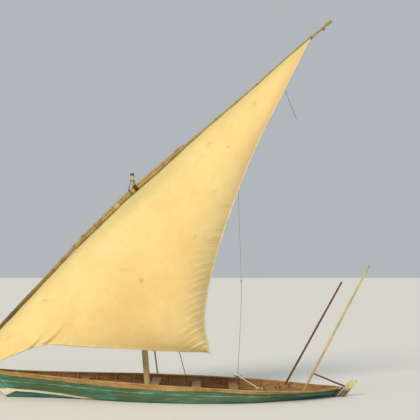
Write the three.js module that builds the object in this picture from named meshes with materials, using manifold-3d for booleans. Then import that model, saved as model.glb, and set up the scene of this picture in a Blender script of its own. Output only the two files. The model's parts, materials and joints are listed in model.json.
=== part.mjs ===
// Open lateen sailing boat with a planked wooden hull.
// Millimetres. +X runs aft, -Y is port, +Z is up.
// The origin is on the waterline, a little forward of midships.

import * as THREE from 'three';
import { mergeVertices } from 'three/addons/utils/BufferGeometryUtils.js';
import Module from 'manifold-3d';

const wasm = await Module();
wasm.setup();

// Driving dimensions
const gap = 0.4;                     // between pieces that touch
const plankThickness = 25;
const ribDepth = 40;
const ribWidth = 50;
const stemSlope = -1.02;             // change of x for each unit of z along the raking stem
const postSlope = 0.84;              // the same along the raking sternpost
const stemRabbetX = -3360;           // where the planking meets the stem, at the waterline
const postRabbetX = 3720;
const stemDepth = 180;               // fore and aft, measured level
const postDepth = 100;
const postWidth = 70;                // siding of keel, stem and sternpost
const keelForeZ = -420;              // top of the keel at the stem
const keelAftZ = -600;
const keelDepth = 100;
const stemHeadZ = 740;
const postHeadZ = 212;
const capThickness = 28;
const capInboard = 62;
const capOutboard = 30;

// Hull stations. t runs from the stem rabbet (0) to the sternpost rabbet (1).
// columns: t, height of the rail's top, half breadth at the rail, half breadth at the waterline,
// roundness of the bilge, depth of the rail's plank
const stations = [
  [0.00, 650, 38, 38, 1.0, 92],
  [0.05, 590, 196, 92, 1.0, 96],
  [0.14, 535, 380, 220, 1.1, 104],
  [0.25, 480, 680, 500, 1.4, 118],
  [0.38, 420, 970, 860, 1.8, 132],
  [0.50, 365, 1120, 1050, 2.1, 140],
  [0.62, 324, 1182, 1130, 2.2, 112],
  [0.74, 282, 1128, 1040, 2.0, 84],
  [0.85, 243, 882, 680, 1.6, 58],
  [0.93, 217, 547, 340, 1.2, 44],
  [1.00, 228, 38, 38, 1.0, 42],
];

// Smooth value of one column between the stations
function atStation(t, column) {
  let i = 0;
  while (i < stations.length - 2 && t > stations[i + 1][0]) i++;
  const slopeAt = (k) => {
    const a = stations[Math.max(k - 1, 0)], b = stations[Math.min(k + 1, stations.length - 1)];
    return (b[column] - a[column]) / (b[0] - a[0]);
  };
  const [from, to] = [stations[i], stations[i + 1]];
  const span = to[0] - from[0], s = (t - from[0]) / span;
  const h = [2 * s ** 3 - 3 * s ** 2 + 1, s ** 3 - 2 * s ** 2 + s, 3 * s ** 2 - 2 * s ** 3, s ** 3 - s ** 2];
  return h[0] * from[column] + h[1] * span * slopeAt(i) + h[2] * to[column] + h[3] * span * slopeAt(i + 1);
}

const railZ = (t) => atStation(t, 1);
const plankTopZ = (t) => railZ(t) - capThickness - gap;
const railFootZ = (t) => railZ(t) - atStation(t, 5);
const seamZ = (t) => 0.5 * railZ(t);
const keelZ = (t) => keelForeZ + (keelAftZ - keelForeZ) * t;
const rabbetX = (t, z) => {
  const fore = stemRabbetX + stemSlope * z, aft = postRabbetX + postSlope * z;
  return fore + (aft - fore) * t;
};

// Half breadth of the planking's outside at a station and height
function halfBreadth(t, z) {
  const water = atStation(t, 3), flare = (atStation(t, 2) - water) / railZ(t);
  if (z >= 0) return water + flare * z;
  const s = Math.min(z / keelZ(t), 1), round = atStation(t, 4);
  const body = (1 - s ** round) ** (1 - 0.15 * (round - 1));
  return 30 + (water - 30) * body + flare * z * (1 - s);
}

// The same surface moved inwards by a distance, kept off the middle plane
function innerHalf(t, z, inset, least) {
  const dz = 4, dt = 0.004, t0 = Math.max(t - dt, 0), t1 = Math.min(t + dt, 1);
  const lean = (halfBreadth(t, z + dz) - halfBreadth(t, z - dz)) / (2 * dz);
  const run = (halfBreadth(t1, z) - halfBreadth(t0, z)) / (rabbetX(t1, z) - rabbetX(t0, z));
  return Math.max(halfBreadth(t, z) - inset * Math.hypot(1, lean, run), least);
}

// Closed body from rings of points, each ring the same length, with flat or bridged ends
function ringBody(rings, bridgedEnds = false) {
  const n = rings[0].length, last = rings.length - 1, index = [];
  for (let i = 0; i < last; i++) {
    for (let j = 0; j < n; j++) {
      const a = i * n + j, b = i * n + (j + 1) % n;
      index.push(a, b, b + n, a, b + n, a + n);
    }
  }
  for (const [start, turned] of [[0, true], [last * n, false]]) {
    const face = (a, b, c) => index.push(start + a, start + (turned ? c : b), start + (turned ? b : c));
    if (bridgedEnds) {
      for (let j = 0; j < n / 2 - 1; j++) {
        const k = n - 1 - j;
        face(j, j + 1, k - 1);
        face(j, k - 1, k);
      }
    } else {
      for (let j = 1; j < n - 1; j++) face(0, j, j + 1);
    }
  }
  return meshFrom(rings.flat(), index);
}

// Geometry from points and triangles, with its faces turned outwards
function meshFrom(points, index) {
  let volume = 0;
  const [a, b, c] = [new THREE.Vector3(), new THREE.Vector3(), new THREE.Vector3()];
  for (let i = 0; i < index.length; i += 3) {
    a.set(...points[index[i]]);
    b.set(...points[index[i + 1]]);
    c.set(...points[index[i + 2]]);
    volume += a.dot(b.cross(c));
  }
  if (volume < 0) {
    for (let i = 0; i < index.length; i += 3) [index[i + 1], index[i + 2]] = [index[i + 2], index[i + 1]];
  }
  const geometry = new THREE.BufferGeometry();
  geometry.setAttribute('position', new THREE.Float32BufferAttribute(points.flat(), 3));
  geometry.setIndex(index);
  return geometry;
}

function solidOf(geometry) {
  const bare = geometry.clone();
  for (const name of Object.keys(bare.attributes)) if (name !== 'position') bare.deleteAttribute(name);
  const merged = mergeVertices(bare, 0.001);
  const vertProperties = new Float32Array(merged.attributes.position.array);
  const triVerts = new Uint32Array(merged.index.array);
  return new wasm.Manifold(new wasm.Mesh({ numProp: 3, vertProperties, triVerts }));
}

function geometryOf(solid) {
  const mesh = solid.getMesh();
  const geometry = new THREE.BufferGeometry();
  geometry.setAttribute('position', new THREE.BufferAttribute(new Float32Array(mesh.vertProperties), 3));
  geometry.setIndex(new THREE.BufferAttribute(new Uint32Array(mesh.triVerts), 1));
  return geometry;
}

const joined = (solids) => solids.reduce((whole, piece) => whole.add(piece));
// leaves out the slivers that a cut makes
const withoutSlivers = (solid) => joined(solid.decompose().filter((piece) => piece.volume() > 1e6));
const steps = (count) => Array.from({ length: count + 1 }, (_, i) => i / count);

function boxFrom(x0, x1, y0, y1, z0, z1) {
  const box = new THREE.BoxGeometry(x1 - x0, y1 - y0, z1 - z0);
  return box.translate((x0 + x1) / 2, (y0 + y1) / 2, (z0 + z1) / 2);
}

// Plate whose outline lies in the middle plane, as [x, z] points
function sidePlate(outline, width) {
  const shape = new THREE.Shape(outline.map(([x, z]) => new THREE.Vector2(x, z)));
  const plate = new THREE.ExtrudeGeometry(shape, { depth: width, bevelEnabled: false });
  return plate.rotateX(Math.PI / 2).translate(0, width / 2, 0);
}

// Value at a share of the way through a row of evenly spaced values
function evenly(values, share) {
  const place = share * (values.length - 1), k = Math.min(Math.floor(place), values.length - 2);
  return values[k] + (values[k + 1] - values[k]) * (place - k);
}

// Round tapered pole along a curve. The radius runs through the values given, evenly spaced.
function taperedPole(curve, radii, segments, sides) {
  const frames = curve.computeFrenetFrames(segments, false);
  const rings = steps(segments).map((s, i) => {
    const centre = curve.getPointAt(s), radius = evenly(radii, s);
    return Array.from({ length: sides }, (_, j) => {
      const angle = 2 * Math.PI * j / sides;
      return centre.clone()
        .addScaledVector(frames.normals[i], radius * Math.cos(angle))
        .addScaledVector(frames.binormals[i], radius * Math.sin(angle)).toArray();
    });
  });
  return ringBody(rings);
}

const straight = (from, to) => new THREE.LineCurve3(new THREE.Vector3(...from), new THREE.Vector3(...to));
const smooth = (points) => {
  const path = points.map((p) => new THREE.Vector3(...p));
  return new THREE.CatmullRomCurve3(path, false, 'centripetal');
};

// Share of the way along a curve where it passes through a plane, found by halving
function crossing(curve, point, normal) {
  let low = 0, high = 1;
  for (let i = 0; i < 30; i++) {
    const middle = (low + high) / 2;
    if (curve.getPointAt(middle).sub(point).dot(normal) > 0) high = middle;
    else low = middle;
  }
  return (low + high) / 2;
}

// Band of rope pulled tight around circles, given as [middle, radius], in the plane square to a direction
function ropeBand(circles, ahead, thickness, width) {
  const across = new THREE.Vector3(0, 1, 0).addScaledVector(ahead, -ahead.y).normalize();
  const third = new THREE.Vector3().crossVectors(across, ahead), origin = circles[0][0];
  const sides = 24, step = 2 * Math.PI / sides;
  const reach = (angle, grow) => Math.max(...circles.map(([middle, radius]) => {
    const away = middle.clone().sub(origin);
    return away.dot(third) * Math.cos(angle) + away.dot(across) * Math.sin(angle) + radius + grow;
  }));
  // each corner is where two neighbouring lines that touch the circles meet
  const outline = (grow) => Array.from({ length: sides }, (_, k) => {
    const [a, b] = [k * step, (k + 1) * step], [near, far] = [reach(a, grow), reach(b, grow)];
    return new THREE.Vector2(
      (near * Math.sin(b) - far * Math.sin(a)) / Math.sin(step),
      (far * Math.cos(a) - near * Math.cos(b)) / Math.sin(step),
    );
  });
  const shape = new THREE.Shape(outline(thickness));
  shape.holes.push(new THREE.Path(outline(0)));
  const band = new THREE.ExtrudeGeometry(shape, { depth: width, bevelEnabled: false });
  const place = new THREE.Matrix4().makeBasis(third, across, ahead).setPosition(origin);
  return band.translate(0, 0, -width / 2).applyMatrix4(place);
}

const group = new THREE.Group();
const finishes = {
  bluePaint: ['#2f6562', 0.55, 0], greenPaint: ['#447356', 0.5, 0], bareWood: ['#8f6d3f', 0.75, 0],
  innerWood: ['#9a6a3a', 0.8, 0], greyWood: ['#8a7a60', 0.85, 0], poleWood: ['#b3974f', 0.7, 0],
  darkPole: ['#5a3a28', 0.75, 0], sailcloth: ['#fcdf99', 0.9, 0], rope: ['#9c8a62', 0.95, 0],
  iron: ['#4a4038', 0.6, 0.8], rudderWood: ['#bea770', 0.8, 0],
};

function addNode(name, geometry, finish) {
  const [color, roughness, metalness] = finishes[finish];
  const mesh = new THREE.Mesh(geometry, new THREE.MeshStandardMaterial({ color, roughness, metalness }));
  mesh.name = name;
  group.add(mesh);
  return mesh;
}

// Keel, stem and sternpost
const keelSlope = (keelAftZ - keelForeZ) / (rabbetX(1, keelAftZ) - rabbetX(0, keelForeZ));
const keelTop = (x) => keelForeZ + (x - rabbetX(0, keelForeZ)) * keelSlope;
// where a raked line, given by its x at the waterline and its slope, meets the keel's top raised by a little
function onKeel(lineX, slope, raised) {
  const z = (keelForeZ + raised + (lineX - rabbetX(0, keelForeZ)) * keelSlope) / (1 - slope * keelSlope);
  return [lineX + slope * z, z];
}
const stemFaceX = stemRabbetX - stemDepth;
const postFaceX = postRabbetX + postDepth;
const [keelForeX, keelForeTop] = onKeel(stemFaceX, stemSlope, -gap);
const [keelAftX, keelAftTop] = onKeel(postFaceX, postSlope, -gap);
addNode('keel', sidePlate([
  [keelForeX, keelForeTop], [keelAftX, keelAftTop],
  [keelAftX - postSlope * keelDepth, keelAftTop - keelDepth],
  [keelForeX - stemSlope * keelDepth, keelForeTop - keelDepth],
], postWidth), 'bluePaint');
addNode('stem_post', sidePlate([
  onKeel(stemFaceX, stemSlope, 0), onKeel(stemRabbetX - gap, stemSlope, 0),
  [stemRabbetX - gap + stemSlope * (stemHeadZ - 60), stemHeadZ - 60],
  [stemRabbetX - gap + stemSlope * stemHeadZ, stemHeadZ],
  [stemFaceX + stemSlope * stemHeadZ, stemHeadZ],
], postWidth), 'greenPaint');
addNode('stern_post', sidePlate([
  onKeel(postRabbetX + gap, postSlope, 0), onKeel(postFaceX, postSlope, 0),
  [postFaceX + postSlope * postHeadZ, postHeadZ],
  [postRabbetX + gap + postSlope * postHeadZ, postHeadZ],
], postWidth), 'greyWood');

// Hull planking, one wall for each painted run of strakes on each side
const hullSteps = 26, bottomRows = 7;
const bottomHeights = (t) => {
  const low = keelZ(t), high = seamZ(t) - gap;
  return steps(bottomRows).map((w) => low + (high - low) * w ** 1.3);
};
const topHeights = (t) => [seamZ(t), railFootZ(t), plankTopZ(t)];
function plankWall(side, heightsAt, thickness, columns = hullSteps, least = 6) {
  const rings = steps(columns).map((t) => {
    const heights = heightsAt(t);
    const outer = heights.map((z) => [rabbetX(t, z), side * halfBreadth(t, z), z]);
    const inner = heights.map((z) => [rabbetX(t, z), side * innerHalf(t, z, thickness, least), z]);
    return [...outer, ...inner.reverse()];
  });
  return ringBody(rings, true);
}
const sides = [['port', -1], ['starboard', 1]];
for (const [word, side] of sides) {
  addNode(`bottom_planking_${word}`, plankWall(side, bottomHeights, plankThickness), 'bluePaint');
  addNode(`top_strake_${word}`, plankWall(side, topHeights, plankThickness), 'greenPaint');
}

// Rails: a cap board with a broad plank outside the top strake, in one L section
for (const [word, side] of sides) {
  const clear = 1, rings = steps(hullSteps).map((t) => {
    const top = railZ(t), foot = railFootZ(t);
    const wall = (z, out) => [rabbetX(t, z), side * Math.max(halfBreadth(t, z) + out, 1.5), z];
    return [
      wall(top, -capInboard), wall(top, capOutboard), wall(foot, capOutboard - 2),
      wall(foot, clear), wall(top - capThickness, clear), wall(top - capThickness, -capInboard),
    ];
  });
  // the L section is closed by two boards that share an edge, so its ends are filled by hand
  const n = 6, index = [], last = (rings.length - 1) * n;
  for (let i = 0; i < rings.length - 1; i++) {
    for (let j = 0; j < n; j++) {
      const a = i * n + j, b = i * n + (j + 1) % n;
      index.push(a, b, b + n, a, b + n, a + n);
    }
  }
  for (const [a, b, c] of [[0, 1, 4], [0, 4, 5], [1, 2, 3], [1, 3, 4]]) {
    index.push(c, b, a, last + a, last + b, last + c);
  }
  addNode(`rail_${word}`, meshFrom(rings.flat(), index), 'bareWood');
}

// Station of an x on a level, found by stepping in from the rabbets
const stationAt = (x, z) => (x - rabbetX(0, z)) / (rabbetX(1, z) - rabbetX(0, z));

// What stands in the hull is cut to plainer walls, which reach in from the outside by a distance
function hullWalls(thickness) {
  const heights = (t) => steps(5).map((w) => keelZ(t) + (plankTopZ(t) - keelZ(t)) * w ** 1.2);
  return joined(sides.map(([, side]) => solidOf(plankWall(side, heights, thickness, 16, -4))));
}
const midPlank = steps(28).map((s) => {
  const t = 0.006 + 0.988 * s, bottom = keelZ(t) + 12, top = plankTopZ(t) - gap;
  const heights = steps(9).map((w) => bottom + (top - bottom) * w ** 1.2);
  const wall = (z, side) => [rabbetX(t, z), side * innerHalf(t, z, 12, 3), z];
  return [...heights.map((z) => wall(z, -1)), ...heights.reverse().map((z) => wall(z, 1))];
});
const hold = solidOf(ringBody(midPlank, true));
const ribStandoff = 8;               // the hull bends a little between the ribs' faces
const insidePlanks = hold.subtract(hullWalls(plankThickness + 9));
const insideRibs = hold.subtract(hullWalls(plankThickness + ribStandoff + ribDepth + 10));

// Rib across the hull, cut square from a sheet whose outline follows the planking
function ribEdge(x, width) {
  const top = plankTopZ(stationAt(x, railZ(stationAt(x, 0)))) - 4, bottom = keelTop(x) + 12;
  const wallAt = (z) => Math.min(...[-width / 2, width / 2].map((dx) =>
    innerHalf(stationAt(x + dx, z), z, plankThickness + ribStandoff, 0)));
  const outer = steps(8).map((w) => bottom + (top - bottom) * w ** 1.4).map((z) => [wallAt(z), z]);
  while (outer[1][0] < 20) outer.shift();
  outer[0][0] = 3;
  return outer;
}
function ribPlate(x, width, depth) {
  const outer = ribEdge(x, width), top = outer[outer.length - 1][1];
  const inner = outer.map(([y, z], k) => {
    const [a, b] = [outer[Math.max(k - 1, 0)], outer[Math.min(k + 1, outer.length - 1)]];
    const run = Math.hypot(b[0] - a[0], b[1] - a[1]);
    return [y - depth * (b[1] - a[1]) / run, z + depth * (b[0] - a[0]) / run];
  }).filter(([y, z], k) => k === outer.length - 1 || (y > 12 && z < top - 10));
  inner[inner.length - 1][1] = top;
  inner.unshift([0, Math.max(inner[0][1] - 4, outer[0][1] + depth)]);
  const half = [...outer, ...inner.reverse()];
  const mirrored = half.slice(0, -1).reverse().map(([y, z]) => [-y, z]);
  const shape = new THREE.Shape([...half, ...mirrored].map(([y, z]) => new THREE.Vector2(y, z)));
  const plate = new THREE.ExtrudeGeometry(shape, { depth: width, bevelEnabled: false });
  return solidOf(plate.rotateX(Math.PI / 2).rotateZ(Math.PI / 2).translate(x - width / 2, 0, 0));
}

// Ribs, joined by the keelson that lies over them
const ribXs = Array.from({ length: 14 }, (_, i) => -2880 + i * 420);
const keelsonWidth = 120;
const keelsonLine = (x, rise) => [x, ribEdge(x, ribWidth)[0][1] + rise];
const keelson = withoutSlivers(solidOf(sidePlate([
  ...ribXs.map((x) => keelsonLine(x, 25)), ...ribXs.map((x) => keelsonLine(x, 112)).reverse(),
], keelsonWidth)).intersect(insidePlanks));
const ribs = ribXs.map((x) => ribPlate(x, ribWidth, ribDepth));
const ribCutters = joined(ribXs.map((x) => ribPlate(x, ribWidth + 2 * gap, ribDepth + gap)));
const trimWalls = joined(sides.map(([, side]) =>
  solidOf(plankWall(side, bottomHeights, plankThickness + gap, hullSteps, 6 - gap))));
const framing = joined([keelson, ...ribs]).subtract(trimWalls);
addNode('ribs_and_keelson', geometryOf(withoutSlivers(framing)), 'innerWood');

// Risers: one board along the ribs on each side, which carries the thwarts
const riserHeight = 90;
const riserTop = (t) => railZ(t) - 150;
for (const [word, side] of sides) {
  const rings = steps(20).map((s) => {
    const t = 0.17 + 0.7 * s, top = riserTop(t);
    const at = (z, inset) => [rabbetX(t, z), side * innerHalf(t, z, plankThickness + inset, 3), z];
    const [back, face] = [ribStandoff + ribDepth - 4, ribStandoff + ribDepth + 24];
    return [at(top, back), at(top - riserHeight, back), at(top - riserHeight, face), at(top, face)];
  });
  const riser = withoutSlivers(solidOf(ringBody(rings)).subtract(ribCutters));
  addNode(`riser_${word}`, geometryOf(riser), 'innerWood');
}

// Thwarts: boards from side to side on the risers. columns: name, x of the middle, length fore and aft
const thwarts = [
  ['thwart_fore', -1830, 210],
  ['thwart_mid', 690, 210],
  ['thwart_aft', 1530, 210],
  ['thwart_helm', 2370, 220],
];
const thwartThickness = 36;
for (const [name, x, length] of thwarts) {
  const fore = x - length / 2, bottom = riserTop(stationAt(fore, 0)) + 3;
  const board = solidOf(boxFrom(fore, fore + length, -1300, 1300, bottom, bottom + thwartThickness));
  addNode(name, geometryOf(board.intersect(insideRibs)), 'bareWood');
}

// Mast, raking forward, with the beam it leans on and the step it stands in
const mastFoot = [-360, 0, -330];
const mastHead = [-783, 0, 5030];
const mastLean = (mastHead[0] - mastFoot[0]) / (mastHead[2] - mastFoot[2]);
const mastX = (z) => mastFoot[0] + (z - mastFoot[2]) * mastLean;
const mastLine = straight(mastFoot, mastHead), mastRadii = [70, 70, 66, 60, 53, 46, 40];
const capFrom = 4985, capTo = 5036, capRadius = 47;
const mastCap = straight([mastX(capFrom), 0, capFrom], [mastX(capTo), 0, capTo]);
addNode('mast', geometryOf(joined([
  solidOf(taperedPole(mastLine, mastRadii, 6, 16)), solidOf(taperedPole(mastCap, [capRadius, capRadius], 1, 16)),
])), 'bareWood');
const beamZ = 286, beamX0 = mastX(beamZ) + 78;
const mastBeam = solidOf(boxFrom(beamX0, beamX0 + 190, -1300, 1300, beamZ - 40, beamZ + 45));
addNode('mast_beam', geometryOf(mastBeam.intersect(insideRibs)), 'bareWood');
const stepTop = mastFoot[2] + 70, stepBottom = keelTop(mastFoot[0]) + 140;
const stepCorners = [[-260, -95], [230, -95], [230, 95], [-260, 95]];
const stepShape = new THREE.Shape(stepCorners.map((p) => new THREE.Vector2(...p)));
stepShape.holes.push(new THREE.Path().absarc(0, 0, 80, 0, 2 * Math.PI, true));
const stepOptions = { depth: stepTop - stepBottom, bevelEnabled: false, curveSegments: 12 };
const stepBlock = new THREE.ExtrudeGeometry(stepShape, stepOptions);
addNode('mast_step', stepBlock.translate(mastX(stepTop - 40), 0, stepBottom), 'innerWood');

// Floor boards on five cross battens
const floorZ = -232, boardWidth = 150, boardPitch = 165, boardThickness = 22;
const floorUnder = floorZ - boardThickness;
const floorPieces = [-3, -2, -1, 0, 1, 2, 3].map((k) => {
  const middle = k * boardPitch;
  return solidOf(boxFrom(-1700, 2500, middle - boardWidth / 2, middle + boardWidth / 2, floorUnder, floorZ));
});
const battens = [-1410, -570, 270, 1110, 1950].map((x) =>
  solidOf(boxFrom(x - 40, x + 40, -650, 650, floorUnder - 30, floorUnder + 2)));
const mastWell = solidOf(boxFrom(-640, -120, -112, 112, -400, 0));
const floor = joined([...floorPieces, ...battens]).intersect(insideRibs)
  .subtract(ribCutters).subtract(mastWell);
addNode('floor_boards', geometryOf(withoutSlivers(floor)), 'innerWood');

// Decks at the two ends
function deck(name, x0, x1, z, space) {
  const board = solidOf(boxFrom(x0, x1, -900, 900, z - 26, z));
  addNode(name, geometryOf(withoutSlivers(board.intersect(space))), 'innerWood');
}
const foredeckZ = 470, sterndeckZ = 125;
deck('fore_deck', -3990, -2960, foredeckZ, insidePlanks);
deck('stern_deck', 2620, 3760, sterndeckZ, insideRibs);
addNode('bow_bitt', boxFrom(-3390, -3310, -40, 40, foredeckZ + gap, foredeckZ + 115), 'greyWood');

// Yard: two lashed poles that lie side by side in the middle. Points along each pole's middle line.
const lowerLine = smooth([
  [-4720, -60, 445], [-4200, -70, 1033], [-3710, -82, 1572], [-2450, -96, 2927], [-1910, -74, 3544],
  [-1360, -102, 4090], [-856, -118, 4576], [-180, -140, 5163], [400, -156, 5670],
]);
const lowerRadii = [28, 36, 42, 44, 43, 41, 39, 37, 35];
const upperY = (x) => -178 - 0.03 * (x + 800);
const upperLine = smooth([
  [-2030, 3348], [-1360, 4008], [-856, 4500], [-180, 5083], [410, 5614], [1000, 6117], [1910, 6889],
  [2830, 7731], [3765, 8536],
].map(([x, z]) => [x, upperY(x), z]));
const upperRadii = [30, 37, 37, 37, 36, 34, 31, 28, 25];
addNode('yard_lower_pole', taperedPole(lowerLine, lowerRadii, 20, 10), 'poleWood');

// the upper pole ends in a thick cap, with a knot of rope under it
const tipLength = 175, tipRadii = [24, 37, 39, 33], knotRadius = 47, knotBelow = 34;
const tip = straight(upperLine.getPointAt(1 - tipLength / upperLine.getLength()).toArray(),
  upperLine.getPointAt(1).toArray());
const yardKnot = new THREE.IcosahedronGeometry(knotRadius, 2);
const knotPlace = upperLine.getPointAt(0.972), upperRun = upperLine.getTangentAt(0.972);
yardKnot.translate(knotPlace.x + knotBelow * upperRun.z, knotPlace.y, knotPlace.z - knotBelow * upperRun.x);
addNode('yard_upper_pole', geometryOf(joined([
  solidOf(taperedPole(upperLine, upperRadii, 21, 10)), solidOf(taperedPole(tip, tipRadii, 6, 10)),
  solidOf(yardKnot),
])), 'poleWood');

// point on a pole's middle line at an x
const alongX = new THREE.Vector3(1, 0, 0);
const poleAt = (line, x) => line.getPointAt(crossing(line, new THREE.Vector3(x, 0, 0), alongX));

// Sail: rows from the yard (0) to the clew (1), each from the luff end to the leech
// Points along the two free edges, as [x, y, z]
const leechEdge = smooth([
  [3290, -343, 8128], [2684, -500, 6890], [2064, -660, 5664], [1526, -800, 4339],
  [1043, -900, 2788], [881, -880, 1797], [989, -800, 1063],
]);
const footEdge = smooth([
  [-4650, -69, 477], [-3654, -300, 837], [-2681, -550, 1190], [-1728, -780, 1182],
  [99, -950, 1102], [989, -800, 1063],
]);
const sailThickness = 12, sailBelly = 620;
// Head of the sail, below the lower pole first and beside the upper one at the end.
// columns: x, the pole that carries it there, how far below the pole's middle, how far to port of it
const headLine = [
  [-4650, lowerLine, 47, 8], [-4200, lowerLine, 58, 5], [-3710, lowerLine, 67, 5], [-3080, lowerLine, 68, 8],
  [-2450, lowerLine, 69, 18], [-1910, upperLine, 66, 8], [-1360, upperLine, 67, 8], [-856, upperLine, 69, 8],
  [-180, upperLine, 64, 18], [300, upperLine, 57, 34], [600, upperLine, 36, 40], [1000, upperLine, 18, 45],
  [1910, upperLine, 2, 45], [2830, upperLine, 0, 42], [3290, upperLine, 0, 42],
].map(([x, line, below, toPort]) => poleAt(line, x).add(new THREE.Vector3(0, -toPort, -below)));
function headAt(x) {
  let i = 0;
  while (i < headLine.length - 2 && x > headLine[i + 1].x) i++;
  const [from, to] = [headLine[i], headLine[i + 1]];
  return from.clone().lerp(to, (x - from.x) / (to.x - from.x));
}
function sailPoint(a, b) {
  const chord = footEdge.getPointAt(0).lerp(leechEdge.getPointAt(0), a), head = headAt(chord.x);
  const point = footEdge.getPointAt(b).lerp(leechEdge.getPointAt(b), a), nearHead = (1 - b) ** 1.5;
  point.z += nearHead * (head.z - chord.z);
  point.y += nearHead * (head.y - chord.y);
  point.y -= sailBelly * (4 * a * (1 - a)) * (4 * b * (1 - b)) ** 0.8;
  return point;
}
const acrossSail = 18, downSail = 13;
const clewShare = 0.97;              // the last row stops short of the clew, where it would have no length
const sailRings = steps(downSail).map((s) => {
  const b = clewShare * s;
  const face = steps(acrossSail).map((a) => sailPoint(a, b));
  const near = face.map((p) => [p.x, p.y - sailThickness / 2, p.z]);
  const far = face.map((p) => [p.x, p.y + sailThickness / 2, p.z]);
  return [...near, ...far.reverse()];
});
addNode('sail', ringBody(sailRings, true), 'sailcloth');

// Bands of rope around the two poles. columns: name, x along the yard, width, thickness
const poleBands = [
  ['lashing_low', -1880, 90, 8], ['lashing_mid', -1130, 130, 8], ['yard_sling', -680, 70, 10],
  ['lashing_high', 250, 110, 8],
];
const bandClear = 1.8;
// circle of a pole where it passes through a plane, a little larger than the pole
function poleCircle(line, radii, point, ahead, grow) {
  const share = crossing(line, point, ahead);
  return [line.getPointAt(share), evenly(radii, share) + grow];
}
for (const [name, x, width, thickness] of poleBands) {
  const middle = poleAt(lowerLine, x);
  const ahead = lowerLine.getTangentAt(crossing(lowerLine, middle, alongX));
  addNode(name, ropeBand([
    poleCircle(lowerLine, lowerRadii, middle, ahead, bandClear),
    poleCircle(upperLine, upperRadii, middle, ahead, bandClear),
  ], ahead, thickness, width), 'rope');
}

// Parrel: the rope that holds the yard to the mast. It crosses the mast aslant, so there it needs more room.
const parrelZ = 4550, parrelWidth = 30, parrelThickness = 9, mastClear = 6, aslant = 53;
const parrelMiddle = new THREE.Vector3(mastX(parrelZ), 0, parrelZ);
const parrelAhead = lowerLine.getTangentAt(crossing(lowerLine, parrelMiddle, alongX));
const upTheBand = new THREE.Vector3(-parrelAhead.z, 0, parrelAhead.x).normalize();
const [mastMiddle, mastReach] = poleCircle(mastLine, mastRadii, parrelMiddle, parrelAhead, mastClear);
addNode('parrel', ropeBand([
  [mastMiddle.clone().addScaledVector(upTheBand, aslant), mastReach],
  [mastMiddle.clone().addScaledVector(upTheBand, -aslant), mastReach],
  poleCircle(lowerLine, lowerRadii, parrelMiddle, parrelAhead, bandClear),
  poleCircle(upperLine, upperRadii, parrelMiddle, parrelAhead, bandClear),
], parrelAhead, parrelThickness, parrelWidth), 'rope');

// Rudder, hung on the raked sternpost. Distances are measured from the hinge line, square to it and along it.
const hingeGap = 20;
const hingeX = (z) => postFaceX + hingeGap / 2 * Math.hypot(1, postSlope) + postSlope * z;
const alongHinge = new THREE.Vector3(postSlope, 0, 1).normalize();
const aftOfHinge = new THREE.Vector3(1, 0, -postSlope).normalize();
const hingeStart = new THREE.Vector3(hingeX(0), 0, 0);
const fromHinge = (aft, along) => {
  const p = hingeStart.clone().addScaledVector(aftOfHinge, aft).addScaledVector(alongHinge, along);
  return [p.x, p.z];
};
const stockWidth = 142, edgeAft = 10, notchAft = 26;
const ironAlong = [-560, -60];       // where the two hinge irons sit along the hinge line
const notch = (along) => [
  fromHinge(edgeAft, along - 30), fromHinge(notchAft, along - 30),
  fromHinge(notchAft, along + 70), fromHinge(edgeAft, along + 70),
];
const headZ = 366, footAlong = -760;      // the rudder's head is cut level
const levelAt = (aft) => (headZ - aft * aftOfHinge.z) / alongHinge.z;
addNode('rudder_stock', sidePlate([
  fromHinge(edgeAft, footAlong), ...ironAlong.flatMap(notch), fromHinge(edgeAft, levelAt(edgeAft)),
  fromHinge(stockWidth, levelAt(stockWidth)), fromHinge(stockWidth, footAlong),
], 40), 'rudderWood');
addNode('rudder_blade', sidePlate([
  fromHinge(stockWidth + gap, footAlong), fromHinge(stockWidth + gap, 40), fromHinge(stockWidth + 90, -40),
  fromHinge(stockWidth + 200, -300), fromHinge(stockWidth + 250, footAlong + 240),
], 36), 'greyWood');

// Hinge irons: a gudgeon strap on the sternpost and a pintle strap on the rudder at each height
const strap = 4, pinRadius = 6;
function ironOutline(points) {
  return new THREE.Shape(points.map(([aft, y]) => new THREE.Vector2(aft, y)));
}
function onHinge(geometry, along) {
  const place = new THREE.Matrix4().makeBasis(aftOfHinge, new THREE.Vector3(0, 1, 0), alongHinge);
  place.setPosition(hingeStart.clone().addScaledVector(alongHinge, along));
  return geometry.applyMatrix4(place);
}
const postSide = postWidth / 2 + gap, stockSide = 20 + gap;
for (const [i, word] of ['low', 'high'].entries()) {
  const bracket = ironOutline([
    [-70, -postSide - strap], [-9, -postSide - strap], [0, -11], [10, -6],
    [10, 6], [0, 11], [-9, postSide + strap], [-70, postSide + strap],
    [-70, postSide], [-9.5, postSide], [-9.5, -postSide], [-70, -postSide],
  ]);
  bracket.holes.push(new THREE.Path().absarc(0, 0, pinRadius + 0.4, 0, 2 * Math.PI, true));
  const gudgeon = new THREE.ExtrudeGeometry(bracket, { depth: 34, bevelEnabled: false, curveSegments: 8 });
  addNode(`gudgeon_${word}`, onHinge(gudgeon, ironAlong[i]), 'iron');
  const horns = ironOutline([
    [110, -stockSide - strap], [27, -stockSide - strap], [6, -9], [-8, -5],
    [-8, 5], [6, 9], [27, stockSide + strap], [110, stockSide + strap],
    [110, stockSide], [notchAft - gap, stockSide], [notchAft - gap, -stockSide], [110, -stockSide],
  ]);
  const head = new THREE.ExtrudeGeometry(horns, { depth: 28, bevelEnabled: false }).translate(0, 0, 35);
  const pin = new THREE.CylinderGeometry(pinRadius, pinRadius, 50, 12);
  pin.rotateX(Math.PI / 2).translate(0, 0, 15);
  addNode(`pintle_${word}`, onHinge(geometryOf(solidOf(head).add(solidOf(pin))), ironAlong[i]), 'iron');
}

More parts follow.
